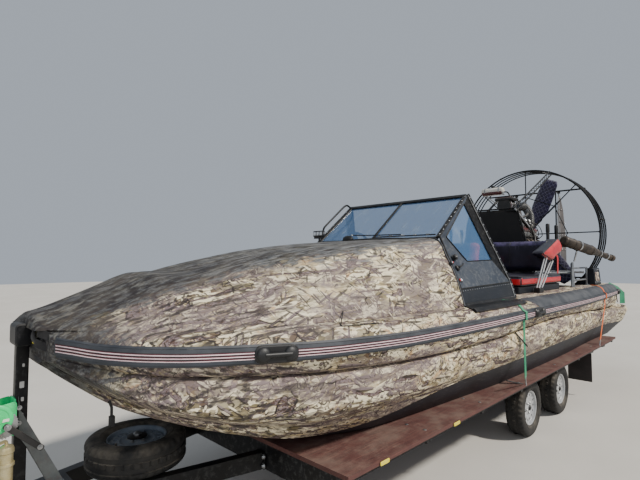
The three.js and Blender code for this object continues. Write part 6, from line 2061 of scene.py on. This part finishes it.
def trailer_fixings():
    """Bolts, clamps, lamps and markers on the trailer's frame."""
    shape = Shape()
    for x in (1.65, 0.79, -0.06, -1.12, -1.985, -2.65, -3.23, -3.78):
        for side in (-1, 1):
            for y in (0.28, 0.62, 0.98, 1.13):
                shape.stud((x, side * y, 0.6895), (0, 0, 1), 0.014, 0.005, 1, 12)
            shape.bolt((x + 0.026, side * 0.45, 0.64), (1, 0, 0), 0.011, 1)
            shape.bolt((x + 0.026, side * 0.49, 0.64), (1, 0, 0), 0.011, 1)
    for side in (-1, 1):
        shape.tube([(2.52, side * 1.15, 0.64), (2.52, side * 1.162, 0.6)], 0.006, 8)
        for x in (2.22, 1.33):
            shape.block((x - 0.045, side * 1.2042, 0.66), (x + 0.045, side * 1.2102, 0.685), axis=1,
                        corner=0.01, edge=0.002, paint=2)
        shape.block((-3.85, side * 0.9 - 0.108, 0.507), (-3.8, side * 0.9 + 0.108, 0.603), axis=0,
                    corner=0.012, edge=0.004)
        for k, paint in ((-0.062, 3), (0.0, 4), (0.062, 5)):
            shape.block((-3.862, side * 0.9 + k - 0.028, 0.517), (-3.846, side * 0.9 + k + 0.028, 0.593),
                        axis=0, corner=0.008, edge=0.003, paint=paint)
        shape.block((-2.664, side * 0.99 - 0.15, 0.592), (-2.636, side * 0.99 + 0.15, 0.608), axis=1,
                    corner=0.004, paint=1)
        for k in range(4):
            shape.bolt((-2.6565, side * (0.88 + 0.073 * k), 0.58), (-1, 0, 0), 0.009, 1)
        shape.block((2.545, side * 0.43 - 0.05, 0.5), (2.557, side * 0.43 + 0.05, 0.608), axis=0,
                    corner=0.012)
        for z in (0.525, 0.583):
            shape.bolt((2.557, side * 0.47, z), (1, 0, 0), 0.012, 1)
        for x in (-0.455, -1.465):
            shape.block((x - 0.06, side * 0.47 - 0.05, 0.488), (x + 0.06, side * 0.47 + 0.05, 0.5005),
                        axis=2, corner=0.012)
            for k in (-1, 1):
                shape.bolt((x + k * 0.045, side * 0.4992, 0.5), (0, 0, -1), 0.012, 1)
            shape.turned([(0, 0), (0.052, 0), (0.055, 0.008), (0.055, 0.03), (0, 0.03)],
                         (x, side * 0.806, 0.455), (0, side, 0), 24)
            shape.turned([(0, 0), (0.06, 0), (0.062, 0.01), (0.03, 0.026), (0, 0.027)],
                         (x - 0.16, side * 0.833, 0.298), (0, side, 0), 28)
    for x in (3.64, 3.92):
        for side in (-1, 1):
            for k in (-1, 1):
                shape.bolt((x + 0.03 * k, side * 0.07, 0.608), (0, 0, 1), 0.011, 1)
    shape.block((3.165, -0.03, 0.604), (3.235, 0.03, 0.616), corner=0.006)
    shape.tube([(3.2, 0, 0.61), (3.2, 0, 0.79)], 0.012, 12, paint=1)
    shape.turned([(0, 0), (0.06, 0), (0.06, 0.006), (0.03, 0.012), (0, 0.012)], (3.2, 0, 0.766), (0, 0, 1),
                 28)
    shape.turned([(0, 0), (0.024, 0), (0.024, 0.01), (0.012, 0.02), (0, 0.022)], (3.2, 0, 0.776), (0, 0, 1),
                 6, 1)
    for sign in (-1, 1):
        shape.block((3.16, sign * 0.255 - 0.045, 0.58), (3.24, sign * 0.255 + 0.045, 0.6079), corner=0.006)
    shape.done("trailer_fixings", [BLACK, STEEL, YELLOW, RED_LENS, AMBER, LENS], slot="black_paint")


def coupling_head():
    coupling = Shape()
    cup = []
    sections = ((4.47, 0.058, 0.516, 0.64), (4.53, 0.057, 0.52, 0.65), (4.6, 0.053, 0.53, 0.652),
                (4.645, 0.043, 0.54, 0.636), (4.672, 0.024, 0.556, 0.606))
    for x, half, low, high in sections:
        outline = [(x, -half, low), (x, half, low), (x, half * 0.8, high), (x, -half * 0.8, high)]
        cup.append(rounded(outline, 0.022))
    coupling.loft(cup)
    coupling.tube([(4.5, 0, 0.65), (4.46, 0, 0.70), (4.36, 0, 0.712)], 0.012, 12, bend=0.03)
    coupling.tube([(4.38, 0, 0.712), (4.32, 0, 0.715)], 0.016, 14, paint=1)
    for side in (-1, 1):
        for x in (4.49, 4.53):
            coupling.bolt((x, side * 0.056, 0.57), (0, side, 0), 0.011)
    coupling.tube([(4.2, 0.054, 0.60), (4.35, 0.07, 0.57), (4.45, 0.066, 0.50), (4.36, 0.06, 0.44),
                   (4.3, 0.055, 0.5)], 0.009, 12, bend=0.05, paint=1)
    coupling.done("coupling_head", [ZINC, PLASTIC], slot="bare_steel")


def jack():
    shape = Shape()
    x, y = 3.93, 0.205
    case = [(0.0252, 0), (0.03, 0), (0.03, 0.56), (0.034, 0.565), (0.034, 0.58), (0.03, 0.592),
            (0.018, 0.6), (0, 0.602)]
    shape.turned(case, (x, y, 0.38), (0, 0, 1), 32)
    for z in (0.405, 0.88):
        shape.turned([(0.0302, 0), (0.036, 0.002), (0.036, 0.016), (0.0302, 0.018)], (x, y, z), (0, 0, 1),
                     32)
    handle = [(x, y, 0.97), (x, y, 1.0), (x + 0.085, y + 0.06, 1.005), (x + 0.085, y + 0.06, 1.06)]
    shape.tube(handle, 0.008, 12, bend=0.015)
    grip = [(0, 0), (0.014, 0.002), (0.017, 0.02), (0.0165, 0.06), (0.013, 0.078), (0, 0.08)]
    shape.turned(grip, (x + 0.085, y + 0.06, 1.01), (0, 0, 1), 20, 1)
    for z in (0.53, 0.58):
        shape.turned(collar(0.0305, 0.04, 0, 0.022), (x, y, z), (0, 0, 1), 32, 2)
        shape.bolt((x, y + 0.038, z + 0.011), (0, 1, 0), 0.009, 3)
    shape.tube([(x + 0.02, y + 0.045, 0.555), (x + 0.1, y + 0.06, 0.555)], 0.007, 10, paint=3)
    shape.ball((x + 0.1, y + 0.06, 0.555), 0.014, paint=1)
    shape.done("jack_post", [ZINC, PLASTIC, BLACK, STEEL], stands_for=["jack_tube"], slot="bare_steel")
    fork = Shape()
    fork.turned(collar(0, 0.0243, 0, 0.345), (x, y, 0.215), (0, 0, 1), 28)
    fork.block((x - 0.075, y - 0.042, 0.208), (x + 0.032, y + 0.042, 0.222), corner=0.012)
    for side in (-1, 1):
        outline = [(x + 0.025, 0.218), (x - 0.067, 0.218), (x - 0.067, 0.085), (x - 0.023, 0.085)]
        fork.panel([(px, y + side * 0.034, z) for px, z in outline], (0, side * 0.006, 0), corner=0.015,
                   edge=0.001)
        fork.bolt((x - 0.045, y + side * 0.04, 0.1), (0, side, 0), 0.011, 1)
    fork.tube([(x - 0.045, y - 0.04, 0.1), (x - 0.045, y + 0.04, 0.1)], 0.0092, 16, paint=1)
    fork.done("jack_yoke", [ZINC, STEEL], body="jack_leg", stands_for=["jack_fork"], slot="bare_steel")
    roller = Shape()
    profile = [(0.0102, -0.028), (0.024, -0.028), (0.026, -0.012), (0.058, -0.010), (0.062, -0.024),
               (0.07, -0.026), (0.092, -0.025), (0.1, -0.014), (0.1, 0.014), (0.092, 0.025), (0.07, 0.026),
               (0.062, 0.024), (0.058, 0.010), (0.026, 0.012), (0.024, 0.028), (0.0102, 0.028)]
    paints = [1, 1, 1, 1] + [0] * 7 + [1, 1, 1, 1, 1]
    roller.turned(profile, (x - 0.045, y, 0.1), (0, 1, 0), 48, paints, loop=True)
    centre = Vector((x - 0.045, y, 0.1))
    for across, up in around(5, 1):
        out = Vector((across, 0, up))
        side = Vector((-out.z, 0, out.x))
        outline = [centre + out * 0.026 - side * 0.005, centre + out * 0.06 - side * 0.004,
                   centre + out * 0.06 + side * 0.004, centre + out * 0.026 + side * 0.005]
        roller.panel([p - Vector((0, 0.02, 0)) for p in outline], (0, 0.04, 0), edge=0.001, paint=1)
    roller.done("jack_wheel", [RUBBER, SILVER], body="jack_roller", stands_for=["jockey_wheel"],
                slot="tyre_rubber")


POST_FACE = 3.866


def winch():
    shape = Shape()
    face, lift = POST_FACE, 0.04
    shape.base = Matrix.Translation((0, 0, lift))
    shape.block((face, -0.045, 0.925), (face + 0.008, 0.06, 1.115), axis=0, corner=0.012, edge=0.001)
    cheek = [(0, 0.935), (0.12, 0.96), (0.15, 1.02), (0.11, 1.095), (0, 1.11)]
    for y in (-0.062, 0.078):
        shape.panel([(face + px, y, z) for px, z in cheek], (0, 0.006, 0), corner=0.02, edge=0.0012)
        shape.bolt((face + 0.08, y + (0.006 if y > 0 else 0), 1.025), (0, 1 if y > 0 else -1, 0), 0.012, 1)
    reel = [(0.02, -0.055), (0.055, -0.055), (0.055, -0.05), (0.045, -0.048), (0.046, 0.066),
            (0.055, 0.068), (0.055, 0.072), (0.02, 0.072)]
    shape.turned(reel, (face + 0.08, 0, 1.025), (0, 1, 0), 32, [0, 0, 0, 2, 0, 0, 0])
    shape.block((face, -0.06, 0.94), (face + 0.02, 0.082, 0.96), axis=1, corner=0.004)
    teeth = []
    for k in range(60):
        radius = 0.07 if k % 2 else 0.064
        angle = math.pi * k / 30
        teeth.append((face + 0.06 + radius * math.cos(angle), 0.084, 1.0 + radius * math.sin(angle)))
    shape.panel(teeth, (0, 0.004, 0), edge=0.0006, paint=1)
    lid = [(0, 0), (0.066, 0), (0.073, 0.004), (0.073, 0.012), (0.066, 0.016), (0.056, 0.016),
           (0.052, 0.013), (0.03, 0.013), (0.026, 0.018), (0, 0.018)]
    shape.turned(lid, (face + 0.09, 0.088, 1.035), (0, 1, 0), 48)
    shape.block((face + 0.035, 0.1, 1.02), (face + 0.08, 0.1045, 1.035), axis=1, corner=0.003, paint=4)
    pivot, grip = Vector((face + 0.045, 0.112, 0.995)), Vector((3.768, 0.124, 0.862))
    arm = (grip - pivot).normalized()
    wide = arm.cross(Vector((0, 1, 0))).normalized() * 0.015
    low, high = pivot - arm * 0.02, grip + arm * 0.02
    outline = [low - wide, high - wide, high + wide, low + wide]
    shape.panel(outline, (0, 0.008, 0), corner=0.014, edge=0.0015, paint=5)
    shape.bolt(pivot + Vector((0, 0.008, 0)), (0, 1, 0), 0.011, 1)
    shape.bolt(grip + Vector((0, 0.008, 0)), (0, 1, 0), 0.009, 1)
    shape.tube([pivot - Vector((0, 0.03, 0)), pivot], 0.01, 14, paint=1)
    shape.done("hand_winch", [GREEN, STEEL, BLACK_WEB, PLASTIC, WHITE, ENGINE_BLACK], stands_for=["winch"],
               slot="winch_green")


def bow_post():
    post = Shape()
    back = POST_FACE - 0.06
    post.block((back, -0.03, 0.6083), (POST_FACE, 0.03, 1.44), corner=0.008, edge=0.003)
    post.block((back - 0.025, -0.06, 0.6083), (POST_FACE + 0.025, 0.06, 0.618), corner=0.012)
    for sx in (-1, 1):
        for sy in (-1, 1):
            post.bolt((back + 0.03 + sx * 0.042, sy * 0.045, 0.618), (0, 0, 1), 0.01, 1)
    brace = [(3.852, 1.16), (3.842, 1.09), (3.603, 0.6083), (3.676, 0.6083), (3.8, 0.872), (3.845, 0.95)]
    for y in (0.0304, -0.0364):
        post.panel([(x, y, z) for x, z in brace], (0, 0.006, 0), edge=0.001, paint=2)
    for z, size in ((1.04, 0.018), (1.13, 0.014), (1.2, 0.022), (1.31, 0.012)):
        post.block((back + 0.02, 0.0295, z), (back + 0.02 + size, 0.0318, z + size * 1.6), axis=1,
                   corner=0.005, edge=0.0008, paint=1)
    for z in (0.96, 1.02, 1.1):
        post.bolt((back + 0.04, 0.0364, z), (0, 1, 0), 0.008, 1)
    post.done("bow_post", [BLACK, STEEL, BRACE], stands_for=["winch_post"], slot="black_paint")
    stop = Shape()
    stop.block((3.80, -0.07, 1.425), (3.882, 0.078, 1.543), axis=1, corner=0.022, edge=0.012)
    stop.block((3.788, -0.068, 1.435), (3.806, 0.08, 1.533), axis=1, corner=0.008, edge=0.003, paint=2)
    stop.block((3.806, 0.07, 1.432), (3.876, 0.0795, 1.536), axis=1, corner=0.016, edge=0.002, paint=1)
    stop.stud((3.84, -0.07, 1.48), (0, -1, 0), 0.008, 0.004, 3)
    stop.done("bow_block", [PLASTIC, BLACK, YELLOW, STEEL], stands_for=["bow_stop"], slot="black_plastic")


def hanging_line(start, end, sag):
    a, b = Vector(start), Vector(end)
    parts = [k / 12 for k in range(13)]
    return [a.lerp(b, part) - Vector((0, 0, 4 * sag * part * (1 - part))) for part in parts]


def lashing(shape, top, rail, deck, paint):
    """A tight strap from the tube's top over the rail and down to a hook on the deck's edge."""
    points, normals = [], []
    for k in range(7):
        part = k / 6
        p, normal = skin(top + (rail - top) * part, 0.24 * (1 - part) + 0.012, 0.006)
        points.append(p)
        normals.append(normal)
    beam, height = eased(HULL, rail)[:2]
    for up in (0.036, 0.0, -0.036):
        points.append(Vector((aft(rail), beam + 0.0275, height + up)))
        normals.append(Vector((0, 1, 0.1 if up > 0 else 0)))
    foot = Vector(deck)
    widest = max(tube_outline(rail)[0], key=lambda p: p.x)
    points.append(Vector((aft(rail), widest.x + 0.004, widest.y)))
    points.append(Vector((aft(rail), widest.x + 0.002, widest.y - 0.1)))
    points.append(points[-1].lerp(foot, 0.9))
    normals += [Vector((0, 1, 0))] * 3
    shape.strap(points, normals, 0.045, 0.003, paint)
    along = (foot - points[-2]).normalized()
    shape.tube([foot - along * 0.08, foot, foot + Vector((0, 0.006, -0.022)),
                foot + Vector((0, -0.03, -0.03))], 0.006, 10, bend=0.015, paint=3)


def lashings():
    shape = Shape()
    lashing(shape, 3.6, 3.674, (-0.055, 1.2, 0.70), 0)
    lashing(shape, 7.2, 6.96, (-2.84, 1.2, 0.70), 1)
    for a, b in (((0.30, 1.25, 1.226), (0.0, 1.243, 1.063)), ((0.367, 1.19, 0.80), (0.02, 1.2, 0.706)),
                 ((-4.05, 1.18, 1.34), (-4.22, 1.16, 1.20))):
        shape.tube(hanging_line(a, b, 0.002), 0.006, 8, paint=2)
    loose = [skin(8.19, 0.16, 0.005)[0], skin(8.2, 0.02, 0.006)[0]]
    loose += [Vector((-4.42, 1.19, z)) for z in (1.34, 1.17)]
    facing = [Vector(out) for out in ((0.6, 1, 1), (0.8, 1, 0.6), (1, 1, 0), (1, 1, 0))]
    shape.strap(loose, facing, 0.085, 0.003, 0)
    both_sides(shape, "lashing_straps", [GREEN_WEB, ORANGE_WEB, BLACK_WEB, STEEL], slot="camo_fabric")


def bow_wrap():
    """The cover's gathered nose with its folds, painted dark as painted shade, and the webbing handle and
    straps on it.
    """
    shape = Shape()
    rings = []
    for k in range(-16, 17):
        angle = k * math.pi / 32
        centre = Vector((3.68 + 0.112 * math.cos(angle), 0.37 * math.sin(angle), 0))
        out = Vector((0.112 * math.cos(angle) * 3, 0.37 * math.sin(angle), 0)).normalized()
        low, high = 1.372 + 0.02 * abs(math.sin(angle)), 1.556 - 0.02 * abs(math.sin(angle))
        ring = []
        for j in range(20):
            a = 2 * math.pi * j / 20
            bulge = math.copysign(abs(math.cos(a)) ** 0.7, math.cos(a)) * 0.045
            z = (low + high) / 2 + math.sin(a) * (high - low) / 2
            crease = noise(Vector((centre.y * 4, z * 26 + centre.y * 12, 4))) * 0.014
            ring.append(centre + out * (bulge - 0.035 + crease) + Vector((0, 0, z)))
        rings.append(ring)
    shape.loft(rings)
    for side in (-1, 1):
        for y0, y1, z in ((0.15, 0.34, 1.478), (0.12, 0.3, 1.42)):
            a = [Vector((3.79, side * y0, z + 0.03)), Vector((3.815, side * (y0 + y1) / 2, z + 0.035)),
                 Vector((3.75, side * y1, z))]
            shape.strap(curve(a, 6), [Vector((1, side * 0.6, 0.1))] * 13, 0.04, 0.005, 1)
        for low, high, out in ((1.40, 1.55, 0.0), (1.39, 1.53, 0.06), (1.39, 1.52, 0.13)):
            fold = [Vector((3.79 - out * 0.5, side * (0.1 + out), high)),
                    Vector((3.815 - out * 0.5, side * (0.14 + out), (low + high) / 2)),
                    Vector((3.775 - out * 0.5, side * (0.2 + out), low))]
            shape.tube(curve(fold, 6), 0.013, 10, shape=lambda part: 1 - 0.75 * abs(2 * part - 1))
    shape.strap([Vector((3.55, 0.47, 1.165)), Vector((3.548, 0.5, 1.14)), Vector((3.545, 0.495, 1.05))],
                [Vector((0.3, 1, -0.3))] * 3, 0.014, 0.004, 1)
    shape.block((3.531, 0.482, 1.045), (3.557, 0.508, 1.095), corner=0.006, paint=1)
    shape.done("bow_wrap", [SHADED_NOSE_CLOTH, BLACK_WEB], slot="camo_fabric", angle=60)


def cover_seams():
    """Hem and sewn pocket lines of the cover, as thin cords that lie on it."""
    shape = Shape()
    hem = [p + Vector((0.0, 0.004, 0.004)) for p in cover_half(2.972)]
    shape.tube(hem, 0.006, 8)
    pocket = []
    for x, z in ((2.32, 1.56), (2.46, 1.487), (2.15, 1.477)):
        line = cover_half(BOW_X - x) + [skin(BOW_X - x, k / 50)[0] for k in range(9)]
        near = min(line, key=lambda p: abs(p.z - z))
        pocket.append(near + Vector((0, 0.006, 0.002)))
    shape.tube(pocket, 0.0035, 8, bend=0.03, paint=1)
    both_sides(shape, "cover_seams", [TAPE, PLASTIC], slot="camo_fabric")


def floor():
    mesh = bpy.data.meshes.new("studio_floor")
    half = 40
    corners = [(-half, -half, 0), (half, -half, 0), (half, half, 0), (-half, half, 0)]
    mesh.from_pydata(corners, [], [(0, 1, 2, 3)])
    plane = placed("studio_floor", mesh)
    mesh.materials.append(coat("pale_floor", (196, 192, 184), (204, 200, 193), 0.85, blotch=0.6, dust=0))


def paint_carried():
    """Gives each solid the finish of its slot, for those that no piece here stands for."""
    for entry in frame["record"]["subparts"]:
        carried = frame["nodes"][entry["node"]]
        carried.data.materials.clear()
        carried.data.materials.append(SLOT_FINISH[entry["material_slot"]])


# Assembly
BUILD_ORDER = (
    place_camera, light_studio, paint_carried, side_tubes, hull_bottom, rail_tapes, rub_rails, cleats,
    fore_cover, windscreen, wiper, wings, work_light, dashboard, steering_wheel, front_seats, bench,
    locker, cockpit_sole, engine, engine_guard_cloth, engine_bed, bay_rails, bolsters, exhaust,
    header_tank, drive, guard_face, guard_barrel, rudder_frame, rudders, propeller, wheels,
    trailer_fixings, coupling_head, jack, winch, bow_post, lashings, bow_wrap, cover_seams, floor,
)
for build in BUILD_ORDER:
    build()
